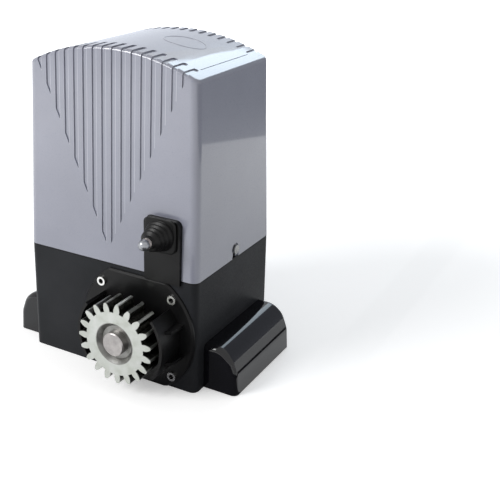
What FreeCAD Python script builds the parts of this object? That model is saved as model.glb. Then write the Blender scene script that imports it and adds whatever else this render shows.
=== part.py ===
# Sliding gate motor: gearbox base, vertical motor with a worm, rack pinion with its
# guard, sprung limit lever in a bellows boot, and a fluted lift-off cover.
# Millimetres. +Z is up, +X runs along the gate, -Y is the pinion side.
# The origin is the middle of the face that rests on the ground plate.
import FreeCAD, Part
import math
import os
import Sketcher

os.makedirs("parts", exist_ok=True)
doc = FreeCAD.newDocument("SlidingGateMotor")
Vector = FreeCAD.Vector
Rotation = FreeCAD.Rotation

# ---------------------------------------------------------------- sizes
sheet = doc.addObject("Spreadsheet::Sheet", "Sizes")


class Length:
    """A number together with the expression that gives it from the sheet."""

    def __init__(self, value, text):
        self.value = float(value)
        self.text = text

    def join(self, other, sign, value):
        return Length(value, "(" + self.text + " " + sign + " " + other.text + ")")

    def __add__(self, other):
        other = length(other)
        return self.join(other, "+", self.value + other.value)

    def __radd__(self, other):
        return length(other) + self

    def __sub__(self, other):
        other = length(other)
        return self.join(other, "-", self.value - other.value)

    def __rsub__(self, other):
        return length(other) - self

    def __mul__(self, other):
        other = length(other)
        return self.join(other, "*", self.value * other.value)

    def __rmul__(self, other):
        return length(other) * self

    def __truediv__(self, other):
        other = length(other)
        return self.join(other, "/", self.value / other.value)

    def __neg__(self):
        return Length(-self.value, "(-" + self.text + ")")


def length(number):
    """A Length as it is, or a plain number made into one."""
    if isinstance(number, Length):
        return number
    return Length(number, "(" + repr(float(number)) + ")")


def root(number):
    return Length(math.sqrt(number.value), "sqrt(" + number.text + ")")


def size(alias, value, note):
    """One driving dimension: a cell of the sheet, with its alias and what it is."""
    row = str(len(sizes) + 1)
    sheet.set("A" + row, str(value))
    sheet.setAlias("A" + row, alias)
    sheet.set("B" + row, note)
    sizes.append(alias)
    return Length(value, "Sizes." + alias)


sizes = []
fit_gap = size("fit_gap", 0.05, "radial clearance of a running fit or a screw in its hole")
seat_gap = size("seat_gap", 0.4, "clearance round a piece that lifts off or slides past")

body_width = size("body_width", 201.5, "base across the gate direction")
body_depth = size("body_depth", 154, "base from pinion side to back")
base_height = size("base_height", 116, "top rim of the base")
base_wall = size("base_wall", 6.5, "side wall of the base casting")
base_floor = size("base_floor", 7, "floor of the base casting")
corner_radius = size("corner_radius", 7, "upright corners of the base")

gear_module = size("gear_module", 4, "module of the rack pinion")
gear_teeth = size("gear_teeth", 19, "teeth of the rack pinion")
gear_width = size("gear_width", 25, "face width of the pinion")
gear_front = size("gear_front", 42.2, "front face of the pinion ahead of the base")
gear_phase = size("gear_phase", 8.87, "turn of the pinion at rest, in degrees")
gear_backlash = size("gear_backlash", 0.2, "thinning of the pinion's teeth along the pitch line")
axis_x = size("axis_x", 35, "output axis, sideways")
axis_z = size("axis_z", 56, "output axis, height")

guard_radius = size("guard_radius", 65.4, "round flange of the pinion guard")
guard_plate = size("guard_plate", 3.3, "thickness of the guard flange")
guard_rim = size("guard_rim", 35, "front of the guard walls ahead of the base")
guard_wall = size("guard_wall", 3, "wall of the guard")
guard_clear = size("guard_clear", 4.5, "gap between tooth tips and the guard wall")
guard_top_drop = size("guard_top_drop", 3.5, "flat top of the flange under the rim")
guard_angle = size("guard_angle", 39, "half angle that each guard wall spans")
guard_screw_offset = size("guard_screw_offset", 41.4, "guard screws from the axis, both ways")
guard_bevel = size("guard_bevel", 1.8, "bevel round the front of the flange")
gusset_offset = size("gusset_offset", 16.5, "gussets above and below the axis")
gusset_back = size("gusset_back", 7.2, "gusset past the wall, at the flange")
gusset_front = size("gusset_front", 5.4, "gusset past the wall, at its front corner")
gusset_reach = size("gusset_reach", 18.5, "gusset ahead of the flange")

shaft_radius = size("shaft_radius", 12, "output shaft in the pinion")
shaft_proud = size("shaft_proud", 2.8, "shaft end ahead of the pinion")

worm_module = size("worm_module", 2.5, "module of the worm drive")
wheel_teeth = size("wheel_teeth", 30, "teeth of the worm wheel")
worm_radius = size("worm_radius", 10, "pitch radius of the worm")
wheel_width = size("wheel_width", 16, "face width of the worm wheel")
worm_y = size("worm_y", -12, "worm axis, front to back")
worm_backlash = size("worm_backlash", 0.5, "play between worm and wheel along the pitch line")

chamber_height = size("chamber_height", 110, "top of the gear chamber, under its lid")
chamber_left = size("chamber_left", -40, "gear chamber, left wall")
chamber_back = size("chamber_back", 45, "gear chamber, back wall")
chamber_ledge = size("chamber_ledge", 4, "ledge that carries the lid")
chamber_front_wall = size("chamber_front_wall", 9, "front wall of the casting at the chamber")

stator_radius = size("stator_radius", 52, "outside of the motor")
stator_bore = size("stator_bore", 27, "inside of the stator")
stator_height = size("stator_height", 68, "lamination stack")
air_gap = size("air_gap", 0.4, "gap between stator and rotor")
shield_height = size("shield_height", 26, "each motor end shield")
shield_wall = size("shield_wall", 4, "wall of the end shields")
motor_shaft_radius = size("motor_shaft_radius", 8.5, "motor shaft at the bearings")

cover_wall = size("cover_wall", 2.8, "wall of the cover")
cover_overhang = size("cover_overhang", 0.4, "cover past the base all round")
cover_shoulder = size("cover_shoulder", 309, "height where the side walls end")
cover_crown = size("cover_crown", 332, "top of the vaulted roof")
cover_side_draft = size("cover_side_draft", 4.2, "lean of each side wall up to the shoulder")
cover_front_draft = size("cover_front_draft", 6.6, "lean of front and back up to the shoulder")
cover_edge = size("cover_edge", 4, "rounding of the roof edge")
seal_height = size("seal_height", 1.5, "rubber seal under the cover")
flute_depth = size("flute_depth", 1.2, "depth of the flutes")
flute_pitch = size("flute_pitch", 11.1, "spacing of the flutes")
flute_width = size("flute_width", 5.0, "width of a flute")
flute_pairs = 8
roof_line_x = size("roof_line_x", 85, "fine groove along the roof, sideways")
roof_line_width = size("roof_line_width", 0.7, "fine groove along the roof, width")
roof_line_length = size("roof_line_length", 92, "fine groove along the roof, front to back")
flute_low = size("flute_low", 132, "height where the lines of the flute ends meet")
flute_rise = size("flute_rise", 2.1, "rise of those lines per unit of width")
flute_roof = size("flute_roof", 22, "length of the flutes on the roof")

neck_x = size("neck_x", 64.3, "middle of the limit switch neck")
neck_width = size("neck_width", 40, "width of the neck")
neck_top = size("neck_top", 177, "top of the neck")
neck_corner = size("neck_corner", 6, "rounded top corners of the neck")
lever_z = size("lever_z", 161.5, "height of the limit lever")
boot_radius = size("boot_radius", 14.5, "largest fold of the bellows boot")
boot_tip_radius = size("boot_tip_radius", 6.3, "front end of the bellows boot")
boot_length = size("boot_length", 19, "bellows boot from its plate forwards")
boot_plate = size("boot_plate", 3, "plate of the boot on the neck")
boot_folds = 4
tip_radius = size("tip_radius", 5.3, "metal tip of the lever")
tip_length = size("tip_length", 11, "metal tip ahead of the boot")
tip_collar = size("tip_collar", 3, "collar behind the dome of the tip")
lever_rod = size("lever_rod", 2.5, "radius of the lever")
lever_hub = size("lever_hub", 5, "radius of the lever's hub")
lever_pivot = size("lever_pivot", 3.5, "lever pin behind the front of its box")
pin_radius = size("pin_radius", 1.5, "radius of the lever pin")

foot_width = size("foot_width", 36.5, "foot cover out from the base")
foot_height = size("foot_height", 47.5, "foot cover")
foot_length = size("foot_length", 122, "foot cover, front to back")
foot_wall = size("foot_wall", 3, "wall of the foot covers")
foot_draft = size("foot_draft", 1.3, "lean of the foot covers' outer face up to its knee")
foot_knee = size("foot_knee", 25.5, "top of the foot covers above that knee")
foot_flat = size("foot_flat", 18, "flat top of the foot covers out from the base")
foot_round = size("foot_round", 20, "rounding along the foot covers' shoulder")
foot_end_round = size("foot_end_round", 6, "rounding round the foot covers' ends")
foot_lift = size("foot_lift", 0.3, "foot covers above the ground plate")
lug_width = size("lug_width", 31, "anchor lug out from the base")
lug_length = size("lug_length", 104, "anchor lug, front to back")
lug_height = size("lug_height", 9, "thickness of the anchor lugs")
slot_width = size("slot_width", 11, "anchor slots, for M10 studs")
slot_length = size("slot_length", 22, "anchor slots, end to end")
slot_spacing = size("slot_spacing", 66, "anchor slots, middle to middle")
slot_out = size("slot_out", 15, "anchor slots out from the base")
cable_radius = size("cable_radius", 12.5, "cable entry in the floor")
cable_x = size("cable_x", -70, "cable entry, sideways")
cable_y = size("cable_y", 30, "cable entry, front to back")
board_thickness = size("board_thickness", 1.6, "control board")
sheet.recompute()

# ---------------------------------------------------------------- helpers
half_width = body_width / 2
half_depth = body_depth / 2
front_y = -half_depth
TURN_X = Rotation(Vector(1, 0, 0), 90)
TURN_Y = Rotation(Vector(0, 1, 0), 90)
UPRIGHT = Rotation()
nodes = {}


def bind(thing, prop, number):
    thing.setExpression(prop, length(number).text)


def place(thing, x, y, z, turn=UPRIGHT):
    """Put a primitive at a place worked out from the sheet."""
    thing.Placement = FreeCAD.Placement(Vector(length(x).value, length(y).value, length(z).value), turn)
    bind(thing, "Placement.Base.x", x)
    bind(thing, "Placement.Base.y", y)
    bind(thing, "Placement.Base.z", z)
    return thing


def box(x, y, z, wide, deep, high):
    """A block from its low corner; wide, deep and high run along X, Y and Z."""
    thing = doc.addObject("Part::Box", "block")
    bind(thing, "Length", wide)
    bind(thing, "Width", deep)
    bind(thing, "Height", high)
    return place(thing, x, y, z)


def box_between(x0, x1, y0, y1, z0, z1):
    return box(x0, y0, z0, length(x1) - x0, length(y1) - y0, length(z1) - z0)


def rod_z(x, y, low, high, radius):
    """An upright cylinder from the height low to the height high."""
    thing = doc.addObject("Part::Cylinder", "rod")
    bind(thing, "Radius", radius)
    bind(thing, "Height", length(high) - low)
    return place(thing, x, y, low)


def rod_y(x, z, near, far, radius):
    """A cylinder along Y, from near, the smaller y, to far."""
    thing = doc.addObject("Part::Cylinder", "rod")
    bind(thing, "Radius", radius)
    bind(thing, "Height", length(far) - near)
    return place(thing, x, far, z, TURN_X)


def rod_x(y, z, low, high, radius):
    thing = doc.addObject("Part::Cylinder", "rod")
    bind(thing, "Radius", radius)
    bind(thing, "Height", length(high) - low)
    return place(thing, low, y, z, TURN_Y)


def cone_y(x, z, near, far, near_radius, far_radius):
    """A cone along Y between two radii, from near, the smaller y, to far."""
    thing = doc.addObject("Part::Cone", "cone")
    bind(thing, "Radius1", far_radius)
    bind(thing, "Radius2", near_radius)
    bind(thing, "Height", length(far) - near)
    return place(thing, x, far, z, TURN_X)


def ball(x, y, z, radius):
    thing = doc.addObject("Part::Sphere", "ball")
    bind(thing, "Radius", radius)
    return place(thing, x, y, z)


def fuse(*pieces):
    thing = doc.addObject("Part::MultiFuse", "joined")
    thing.Shapes = list(pieces)
    thing.Refine = True
    return thing


def common(first, second):
    thing = doc.addObject("Part::MultiCommon", "shared")
    thing.Shapes = [first, second]
    return thing


def cut(base, *tools):
    tool = tools[0]
    if len(tools) > 1:
        tool = doc.addObject("Part::MultiFuse", "tools")
        tool.Shapes = list(tools)
    thing = doc.addObject("Part::Cut", "cut")
    thing.Base = base
    thing.Tool = tool
    thing.Refine = True
    return thing


def group(*pieces):
    """Separate solids of one kind that share a node."""
    thing = doc.addObject("Part::Compound", "group")
    thing.Links = list(pieces)
    return thing


def made(shape, name):
    """A solid from Part's own functions, for a form that no feature gives."""
    thing = doc.addObject("Part::Feature", name)
    thing.Shape = shape
    return thing


def node(name, thing):
    """Name a finished sub-part."""
    thing.Label = name
    nodes[name] = thing
    return thing


def ring_z(x, y, low, high, inner, outer):
    return cut(rod_z(x, y, low, high, outer), rod_z(x, y, length(low) - 1, length(high) + 1, inner))


def ring_y(x, z, near, far, inner, outer):
    return cut(rod_y(x, z, near, far, outer), rod_y(x, z, length(near) - 1, length(far) + 1, inner))


def plane_of(body, role):
    return [feature for feature in body.Origin.OriginFeatures if feature.Role == role][0]


def sketch_on(body, role, offset):
    """A sketch on one of the body's origin planes, moved along the plane's normal."""
    sketch = body.newObject("Sketcher::SketchObject", "sketch")
    sketch.AttachmentSupport = [(plane_of(body, role), "")]
    sketch.MapMode = "FlatFace"
    sketch.setExpression("AttachmentOffset.Base.z", length(offset).text)
    return sketch


def hold(sketch, kind, edge, end, number):
    """Hold a point of an edge at a distance from the sketch's origin."""
    number = length(number)
    index = sketch.addConstraint(Sketcher.Constraint(kind, -1, 1, edge, end, number.value))
    sketch.setExpression("Constraints[" + str(index) + "]", number.text)


def hold_radius(sketch, edge, number):
    index = sketch.addConstraint(Sketcher.Constraint("Radius", edge, number.value))
    sketch.setExpression("Constraints[" + str(index) + "]", number.text)


def draw_rectangle(sketch, u0, u1, v0, v1, radius=None):
    """A rectangle between two corners, with rounded corners where a radius is given."""
    u0, u1, v0, v1 = length(u0), length(u1), length(v0), length(v1)
    r = 0.0
    if radius is not None:
        r = radius.value
    a, b, c, d = u0.value, u1.value, v0.value, v1.value
    first = sketch.GeometryCount
    lines = [Part.LineSegment(Vector(a + r, c, 0), Vector(b - r, c, 0)),
             Part.LineSegment(Vector(b, c + r, 0), Vector(b, d - r, 0)),
             Part.LineSegment(Vector(b - r, d, 0), Vector(a + r, d, 0)),
             Part.LineSegment(Vector(a, d - r, 0), Vector(a, c + r, 0))]
    sketch.addGeometry(lines)
    for step in range(4):
        kind = "Horizontal" if step % 2 == 0 else "Vertical"
        sketch.addConstraint(Sketcher.Constraint(kind, first + step))
    if radius is None:
        for step in range(4):
            corner = Sketcher.Constraint("Coincident", first + step, 2, first + (step + 1) % 4, 1)
            sketch.addConstraint(corner)
    else:
        centres = [(b - r, c + r), (b - r, d - r), (a + r, d - r), (a + r, c + r)]
        for step, (x, y) in enumerate(centres):
            circle = Part.Circle(Vector(x, y, 0), Vector(0, 0, 1), r)
            start = math.radians(90 * step - 90)
            sketch.addGeometry(Part.ArcOfCircle(circle, start, start + math.pi / 2))
            arc = first + 4 + step
            after = first + (step + 1) % 4
            sketch.addConstraint(Sketcher.Constraint("Tangent", first + step, 2, arc, 1))
            sketch.addConstraint(Sketcher.Constraint("Tangent", arc, 2, after, 1))
            if step > 0:
                sketch.addConstraint(Sketcher.Constraint("Equal", first + 4, arc))
        hold_radius(sketch, first + 4, radius)
    hold(sketch, "DistanceY", first, 1, v0)
    hold(sketch, "DistanceX", first + 1, 1, u1)
    hold(sketch, "DistanceY", first + 2, 1, v1)
    hold(sketch, "DistanceX", first + 3, 1, u0)


def draw_polygon(sketch, points):
    """A closed outline of straight edges through points from the sheet."""
    first = sketch.GeometryCount
    count = len(points)
    points = [(length(u), length(v)) for u, v in points]
    for step in range(count):
        u0, v0 = points[step]
        u1, v1 = points[(step + 1) % count]
        edge = Part.LineSegment(Vector(u0.value, v0.value, 0), Vector(u1.value, v1.value, 0))
        sketch.addGeometry(edge)
    for step in range(count):
        after = first + (step + 1) % count
        sketch.addConstraint(Sketcher.Constraint("Coincident", first + step, 2, after, 1))
    for step in range(count):
        hold(sketch, "DistanceX", first + step, 1, points[step][0])
        hold(sketch, "DistanceY", first + step, 1, points[step][1])


def draw_circle(sketch, u, v, radius):
    u, v, radius = length(u), length(v), length(radius)
    index = sketch.GeometryCount
    sketch.addGeometry(Part.Circle(Vector(u.value, v.value, 0), Vector(0, 0, 1), radius.value))
    hold(sketch, "DistanceX", index, 3, u)
    hold(sketch, "DistanceY", index, 3, v)
    hold_radius(sketch, index, radius)


def draw_slot(sketch, u, v, long, wide):
    """A slot that runs along the sketch's second axis."""
    u, v, r, half = length(u), length(v), wide / 2, (long - wide) / 2
    first = sketch.GeometryCount
    left, right = u.value - r.value, u.value + r.value
    low, high = v.value - half.value, v.value + half.value
    top = Part.Circle(Vector(u.value, high, 0), Vector(0, 0, 1), r.value)
    bottom = Part.Circle(Vector(u.value, low, 0), Vector(0, 0, 1), r.value)
    sketch.addGeometry([Part.LineSegment(Vector(right, low, 0), Vector(right, high, 0)),
                        Part.ArcOfCircle(top, 0, math.pi),
                        Part.LineSegment(Vector(left, high, 0), Vector(left, low, 0)),
                        Part.ArcOfCircle(bottom, math.pi, 2 * math.pi)])
    for step in range(4):
        after = first + (step + 1) % 4
        sketch.addConstraint(Sketcher.Constraint("Tangent", first + step, 2, after, 1))
    sketch.addConstraint(Sketcher.Constraint("Vertical", first))
    hold_radius(sketch, first + 1, r)
    hold(sketch, "DistanceX", first + 1, 3, u)
    hold(sketch, "DistanceY", first + 1, 3, v + half)
    hold(sketch, "DistanceY", first + 3, 3, v - half)


def pad(body, sketch, height, back=False):
    feature = body.newObject("PartDesign::Pad", "pad")
    feature.Profile = sketch
    feature.Reversed = back
    bind(feature, "Length", height)
    doc.recompute()
    return feature


def pocket(body, sketch, depth, back=False):
    """Cut a sketch into the body; it must take material away."""
    before = body.Shape.Volume
    feature = body.newObject("PartDesign::Pocket", "pocket")
    feature.Profile = sketch
    feature.Reversed = back
    bind(feature, "Length", depth)
    doc.recompute()
    if body.Shape.Volume > before - 0.01:
        raise ValueError(body.Label + ": a pocket cut nothing")
    return feature


def edge_names(shape, wanted):
    """The names of the edges that a test picks."""
    return ["Edge" + str(number + 1) for number, edge in enumerate(shape.Edges) if wanted(edge)]


def upright(edge):
    low, high = edge.Vertexes[0].Point, edge.Vertexes[-1].Point
    return abs(low.x - high.x) < 0.01 and abs(low.y - high.y) < 0.01 and abs(low.z - high.z) > 1


def fillet(body, radius, wanted):
    """Round the body's edges that a test picks."""
    base = body.Tip
    names = edge_names(base.Shape, wanted)
    if not names:
        raise ValueError(body.Label + ": no edge to round")
    feature = body.newObject("PartDesign::Fillet", "fillet")
    feature.Base = (base, names)
    bind(feature, "Radius", radius)
    doc.recompute()
    return feature


def chamfer(body, width, wanted):
    """Bevel the body's edges that a test picks."""
    base = body.Tip
    names = edge_names(base.Shape, wanted)
    if not names:
        raise ValueError(body.Label + ": no edge to bevel")
    feature = body.newObject("PartDesign::Chamfer", "chamfer")
    feature.Base = (base, names)
    bind(feature, "Size", width)
    doc.recompute()
    return feature


def shell(body, wall, wanted):
    """Hollow the body to a wall, open at the faces that a test picks."""
    base = body.Tip
    names = ["Face" + str(number + 1) for number, face in enumerate(base.Shape.Faces) if wanted(face)]
    feature = body.newObject("PartDesign::Thickness", "hollow")
    feature.Base = (base, names)
    feature.Reversed = True
    bind(feature, "Value", wall)
    doc.recompute()
    return feature


def new_body(name):
    body = doc.addObject("PartDesign::Body", name)
    body.Label = name
    return body


# ---------------------------------------------------------------- base casting
bearing_front_radius = size("bearing_front_radius", 26, "front bearing, outside")
bearing_front_width = size("bearing_front_width", 15, "front bearing, width")
bearing_rear_radius = size("bearing_rear_radius", 23.5, "rear bearing, outside")
bearing_rear_width = size("bearing_rear_width", 12, "rear bearing, width")
journal_radius = size("journal_radius", 12.5, "output shaft at its bearings")
worm_bearing_radius = size("worm_bearing_radius", 17.5, "lower worm bearing, outside")
worm_bearing_width = size("worm_bearing_width", 11, "lower worm bearing, width")
worm_journal_radius = size("worm_journal_radius", 7, "worm shaft at its lower bearing")
motor_bearing_radius = size("motor_bearing_radius", 20, "motor bearings, outside")
motor_bearing_width = size("motor_bearing_width", 12, "motor bearings, width")
seal_radius = size("seal_radius", 19, "output shaft seal, outside")
seal_width = size("seal_width", 6, "output shaft seal, width")
boss_wall = size("boss_wall", 5, "wall of every bearing boss")
guard_screw_radius = size("guard_screw_radius", 2.5, "M5 guard screws")
guard_screw_depth = size("guard_screw_depth", 7, "guard screws into the casting")
tab_width = size("tab_width", 18, "cover screw tabs, front to back")
tab_height = size("tab_height", 20, "cover screw tabs above the rim")
cover_screw_radius = size("cover_screw_radius", 2.5, "M5 cover screws")
cover_screw_rise = size("cover_screw_rise", 10.5, "cover screws above the rim")
sheet.recompute()

inner_x = half_width - base_wall
inner_y = half_depth - base_wall
chamber_right = inner_x - chamber_ledge
chamber_front = front_y + chamber_front_wall
bay_left_side = chamber_left - 2 * chamber_ledge
bay_back_side = chamber_back + 2 * chamber_ledge
worm_x = axis_x - worm_radius - worm_module * wheel_teeth / 2
cover_bottom = base_height + seal_height
front_bearing_near = front_y + seal_width + 1
front_bearing_far = front_bearing_near + bearing_front_width
tab_outer = half_width + cover_overhang - cover_wall - 1.2 * seat_gap
tab_inner = tab_outer - 3.4
cover_screw_z = base_height + cover_screw_rise
guard_corners = [(axis_x + sx * guard_screw_offset, axis_z + sz * guard_screw_offset)
                 for sx in (-1, 1) for sz in (-1, 1)]


def make_base():
    body = new_body("base_casting")
    outline = sketch_on(body, "XY_Plane", 0)
    draw_rectangle(outline, -half_width, half_width, -half_depth, half_depth, corner_radius)
    pad(body, outline, base_height)
    chamber = sketch_on(body, "XY_Plane", chamber_height)
    draw_rectangle(chamber, chamber_left, chamber_right, chamber_front, chamber_back, corner_radius)
    pocket(body, chamber, chamber_height - base_floor)
    recess = sketch_on(body, "XY_Plane", base_height)
    draw_rectangle(recess, chamber_left - chamber_ledge, inner_x, -inner_y,
                   chamber_back + chamber_ledge, corner_radius)
    pocket(body, recess, base_height - chamber_height)
    bay = sketch_on(body, "XY_Plane", base_height)
    draw_polygon(bay, [(-inner_x, -inner_y), (bay_left_side, -inner_y), (bay_left_side, bay_back_side),
                       (inner_x, bay_back_side), (inner_x, inner_y), (-inner_x, inner_y)])
    pocket(body, bay, base_height - base_floor)
    boss = sketch_on(body, "XZ_Plane", -(chamber_front - 0.5))
    draw_circle(boss, axis_x, axis_z, bearing_front_radius + boss_wall)
    pad(body, boss, front_bearing_far + 1 - chamber_front + 0.5, True)
    rear = sketch_on(body, "XZ_Plane", -(chamber_back - bearing_rear_width - 1))
    draw_circle(rear, axis_x, axis_z, bearing_rear_radius + boss_wall)
    pad(body, rear, bearing_rear_width + 2, True)
    lower = sketch_on(body, "XY_Plane", base_floor - 0.5)
    draw_circle(lower, worm_x, worm_y, worm_bearing_radius + boss_wall)
    pad(body, lower, worm_bearing_width + 3.5)
    lugs = sketch_on(body, "XY_Plane", 0)
    reach = half_width + lug_width
    draw_rectangle(lugs, -reach, reach, -lug_length / 2, lug_length / 2, corner_radius)
    inside = -(half_width - 2)
    draw_rectangle(lugs, inside, -inside, -(lug_length / 2 - 2), lug_length / 2 - 2)
    pad(body, lugs, lug_height)
    for side in (-1, 1):
        slots = sketch_on(body, "XY_Plane", 0)
        for end in (-1, 1):
            draw_slot(slots, side * (half_width + slot_out), end * slot_spacing / 2, slot_length, slot_width)
        pocket(body, slots, lug_height + 1, True)
    bores = [(front_y - 1, seal_radius, seal_width + 2.5),
             (front_bearing_near, bearing_front_radius, bearing_front_width + 2)]
    for start, radius, depth in bores:
        bore = sketch_on(body, "XZ_Plane", -start)
        draw_circle(bore, axis_x, axis_z, radius + fit_gap / 5)
        pocket(body, bore, depth)
    rear_bore = sketch_on(body, "XZ_Plane", -(chamber_back - bearing_rear_width - 2))
    draw_circle(rear_bore, axis_x, axis_z, bearing_rear_radius + fit_gap / 5)
    pocket(body, rear_bore, bearing_rear_width + 2)
    worm_bore = sketch_on(body, "XY_Plane", base_floor + worm_bearing_width + 4)
    draw_circle(worm_bore, worm_x, worm_y, worm_bearing_radius + fit_gap / 5)
    pocket(body, worm_bore, worm_bearing_width + 2)
    holes = sketch_on(body, "XZ_Plane", -(front_y - 1))
    for x, z in guard_corners:
        draw_circle(holes, x, z, guard_screw_radius + fit_gap)
    pocket(body, holes, guard_screw_depth + 1)
    cable = sketch_on(body, "XY_Plane", -1)
    draw_circle(cable, cable_x, cable_y, cable_radius)
    pocket(body, cable, base_floor + 2, True)
    tabs = sketch_on(body, "XY_Plane", base_height - 8)
    for side in (-1, 1):
        low = side * tab_inner if side > 0 else -tab_outer
        high = side * tab_outer if side > 0 else -tab_inner
        draw_rectangle(tabs, low, high, -tab_width / 2, tab_width / 2)
    pad(body, tabs, tab_height + 8)
    screws = sketch_on(body, "YZ_Plane", -(half_width + 5))
    draw_circle(screws, 0, cover_screw_z, cover_screw_radius + fit_gap)
    pocket(body, screws, body_width + 10, True)
    return body


node("base_casting", make_base())
node("cable_bush", cut(
    fuse(rod_z(cable_x, cable_y, 0.3, base_floor + 1.5, cable_radius - fit_gap),
         rod_z(cable_x, cable_y, base_floor + 0.02, base_floor + 2.5, cable_radius + 2.5)),
    rod_z(cable_x, cable_y, -1, base_floor + 4, cable_radius - 2)))

# ---------------------------------------------------------------- pinion guard
guard_inner = gear_module * (gear_teeth + 2) / 2 + guard_clear
guard_outer = guard_inner + guard_wall
flange_face = front_y - guard_plate
guard_face = front_y - guard_rim


def make_guard():
    body = new_body("pinion_guard")
    disc = sketch_on(body, "XZ_Plane", -front_y)
    draw_circle(disc, axis_x, axis_z, guard_radius)
    draw_circle(disc, axis_x, axis_z, shaft_radius + 8)
    pad(body, disc, guard_plate)
    chamfer(body, guard_bevel, lambda edge: edge.BoundBox.YMax < flange_face.value + 0.01
            and edge.BoundBox.XLength > 2 * guard_radius.value - 0.1)
    walls = sketch_on(body, "XZ_Plane", -(flange_face + 0.5))
    draw_circle(walls, axis_x, axis_z, guard_outer)
    draw_circle(walls, axis_x, axis_z, guard_inner)
    pad(body, walls, guard_rim - guard_plate + 0.5)
    return body


def guard_window(upward):
    """The open sector between the guard walls, above or below the pinion."""
    reach = guard_outer.value + 2
    half = math.radians(guard_angle.value)
    sign = 1 if upward else -1
    centre = Vector(axis_x.value, flange_face.value, axis_z.value)
    corners = [(0, 0), (reach, reach * math.tan(half) * sign), (reach, 2 * reach * sign),
               (-reach, 2 * reach * sign), (-reach, reach * math.tan(half) * sign)]
    points = [centre + Vector(x, 0, z) for x, z in corners]
    face = Part.Face(Part.makePolygon(points + points[:1]))
    return made(face.extrude(Vector(0, -guard_rim.value, 0)), "guard_window")


def guard_gusset(offset):
    """A web between the right guard wall and the flange, above or below the middle."""
    body = new_body("gusset")
    reach = root(guard_outer * guard_outer - offset * offset)
    outline = sketch_on(body, "XY_Plane", axis_z + offset - guard_wall / 2)
    wall_x = axis_x + reach
    root_x = wall_x - guard_wall / 2
    back = flange_face + guard_plate / 6
    front = flange_face - gusset_reach
    draw_polygon(outline, [(root_x, back), (wall_x + gusset_back, back), (wall_x + gusset_front, front),
                           (wall_x, front - guard_wall), (root_x, front - guard_wall)])
    pad(body, outline, guard_wall)
    return body


def guard_top_bevel():
    """The wedge that bevels the front edge of the flange's flat top."""
    body = new_body("top_bevel")
    outline = sketch_on(body, "YZ_Plane", -half_width)
    top = base_height - guard_top_drop
    reach = guard_bevel + 1
    draw_polygon(outline, [(flange_face - 1, top - reach), (flange_face + reach, top + 1),
                           (flange_face - 1, top + 1)])
    pad(body, outline, body_width)
    return body


flange_trim = [box(-half_width, guard_face - 1, base_height - guard_top_drop, body_width, guard_rim + 2, 40),
               box(-half_width, guard_face - 1, -40, body_width, guard_rim + 2, 40.5)]
guard_holes = [rod_y(x, z, flange_face - 1, front_y + 1, guard_screw_radius + 4 * fit_gap)
               for x, z in guard_corners]
node("pinion_guard", cut(
    fuse(make_guard(), guard_gusset(gusset_offset), guard_gusset(-gusset_offset)),
    guard_window(True), guard_window(False), guard_top_bevel(), *flange_trim, *guard_holes))


def socket_screw_y(x, z, face, shank, head, head_high, depth):
    """A socket screw whose head stands ahead of a face and whose shank runs back from it."""
    bore = doc.addObject("Part::Prism", "hex_socket")
    bore.Polygon = 6
    bind(bore, "Circumradius", shank * 1.1)
    bind(bore, "Height", head_high)
    place(bore, x, face - head_high * 0.3, z, TURN_X)
    screw = fuse(rod_y(x, z, face - head_high, face, head), rod_y(x, z, face - 0.2, face + depth, shank))
    return cut(screw, bore)


node("guard_screws", group(*[
    socket_screw_y(x, z, flange_face, guard_screw_radius, guard_screw_radius * 1.85, guard_screw_radius,
                   guard_plate + guard_screw_depth - 0.6) for x, z in guard_corners]))

# ---------------------------------------------------------------- gears
PRESSURE = math.radians(20)


def gear_face(teeth, module, thinning, phase):
    """An involute gear's outline as a face in XZ about the output axis, seen from the front."""
    teeth = round(teeth)
    pitch = teeth * module / 2
    base = pitch * math.cos(PRESSURE)
    tip = pitch + module
    foot = pitch - 1.25 * module
    half_pitch = (math.pi * module / 2 - thinning) / (2 * pitch)

    def half_angle(radius):
        turn = math.acos(min(1.0, base / radius))
        return half_pitch + (math.tan(PRESSURE) - PRESSURE) - (math.tan(turn) - turn)

    def at(radius, angle):
        return Vector(radius * math.cos(angle), 0, radius * math.sin(angle))

    start = max(base, foot)
    middle = (start + tip) / 2
    edges = []
    step = 2 * math.pi / teeth
    for tooth in range(teeth):
        axis = math.radians(phase) + tooth * step
        low, mid, high = half_angle(start), half_angle(middle), half_angle(tip)
        edges.append(Part.LineSegment(at(foot, axis - low), at(start, axis - low)).toShape())
        edges.append(Part.Arc(at(start, axis - low), at(middle, axis - mid), at(tip, axis - high)).toShape())
        edges.append(Part.Arc(at(tip, axis - high), at(tip, axis), at(tip, axis + high)).toShape())
        edges.append(Part.Arc(at(tip, axis + high), at(middle, axis + mid), at(start, axis + low)).toShape())
        edges.append(Part.LineSegment(at(start, axis + low), at(foot, axis + low)).toShape())
        after = axis + step
        foot_arc = Part.Arc(at(foot, axis + low), at(foot, axis + step / 2), at(foot, after - low))
        edges.append(foot_arc.toShape())
    face = Part.Face(Part.Wire(edges))
    face.translate(Vector(axis_x.value, 0, axis_z.value))
    return face


gear_face_y = front_y - gear_front
gear_back_y = gear_face_y + gear_width


def make_pinion():
    face = gear_face(gear_teeth.value, gear_module.value, gear_backlash.value, gear_phase.value)
    face.translate(Vector(0, gear_face_y.value, 0))
    blank = made(face.extrude(Vector(0, gear_width.value, 0)), "pinion_blank")
    recess = cone_y(axis_x, axis_z, gear_face_y - 1, gear_face_y + 5, 21.8, 17)
    bore = rod_y(axis_x, axis_z, gear_face_y - 1, gear_back_y + 1, shaft_radius + fit_gap)
    return cut(blank, recess, bore, key_block(KEY_FLOAT))


key_width = size("key_width", 8, "shaft key")
key_proud = size("key_proud", 3, "shaft key above the shaft")
key_length = size("key_length", 17, "shaft key")
KEY_FLOAT = 0.1
KEY_ANGLE = -62
sheet.recompute()


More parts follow.
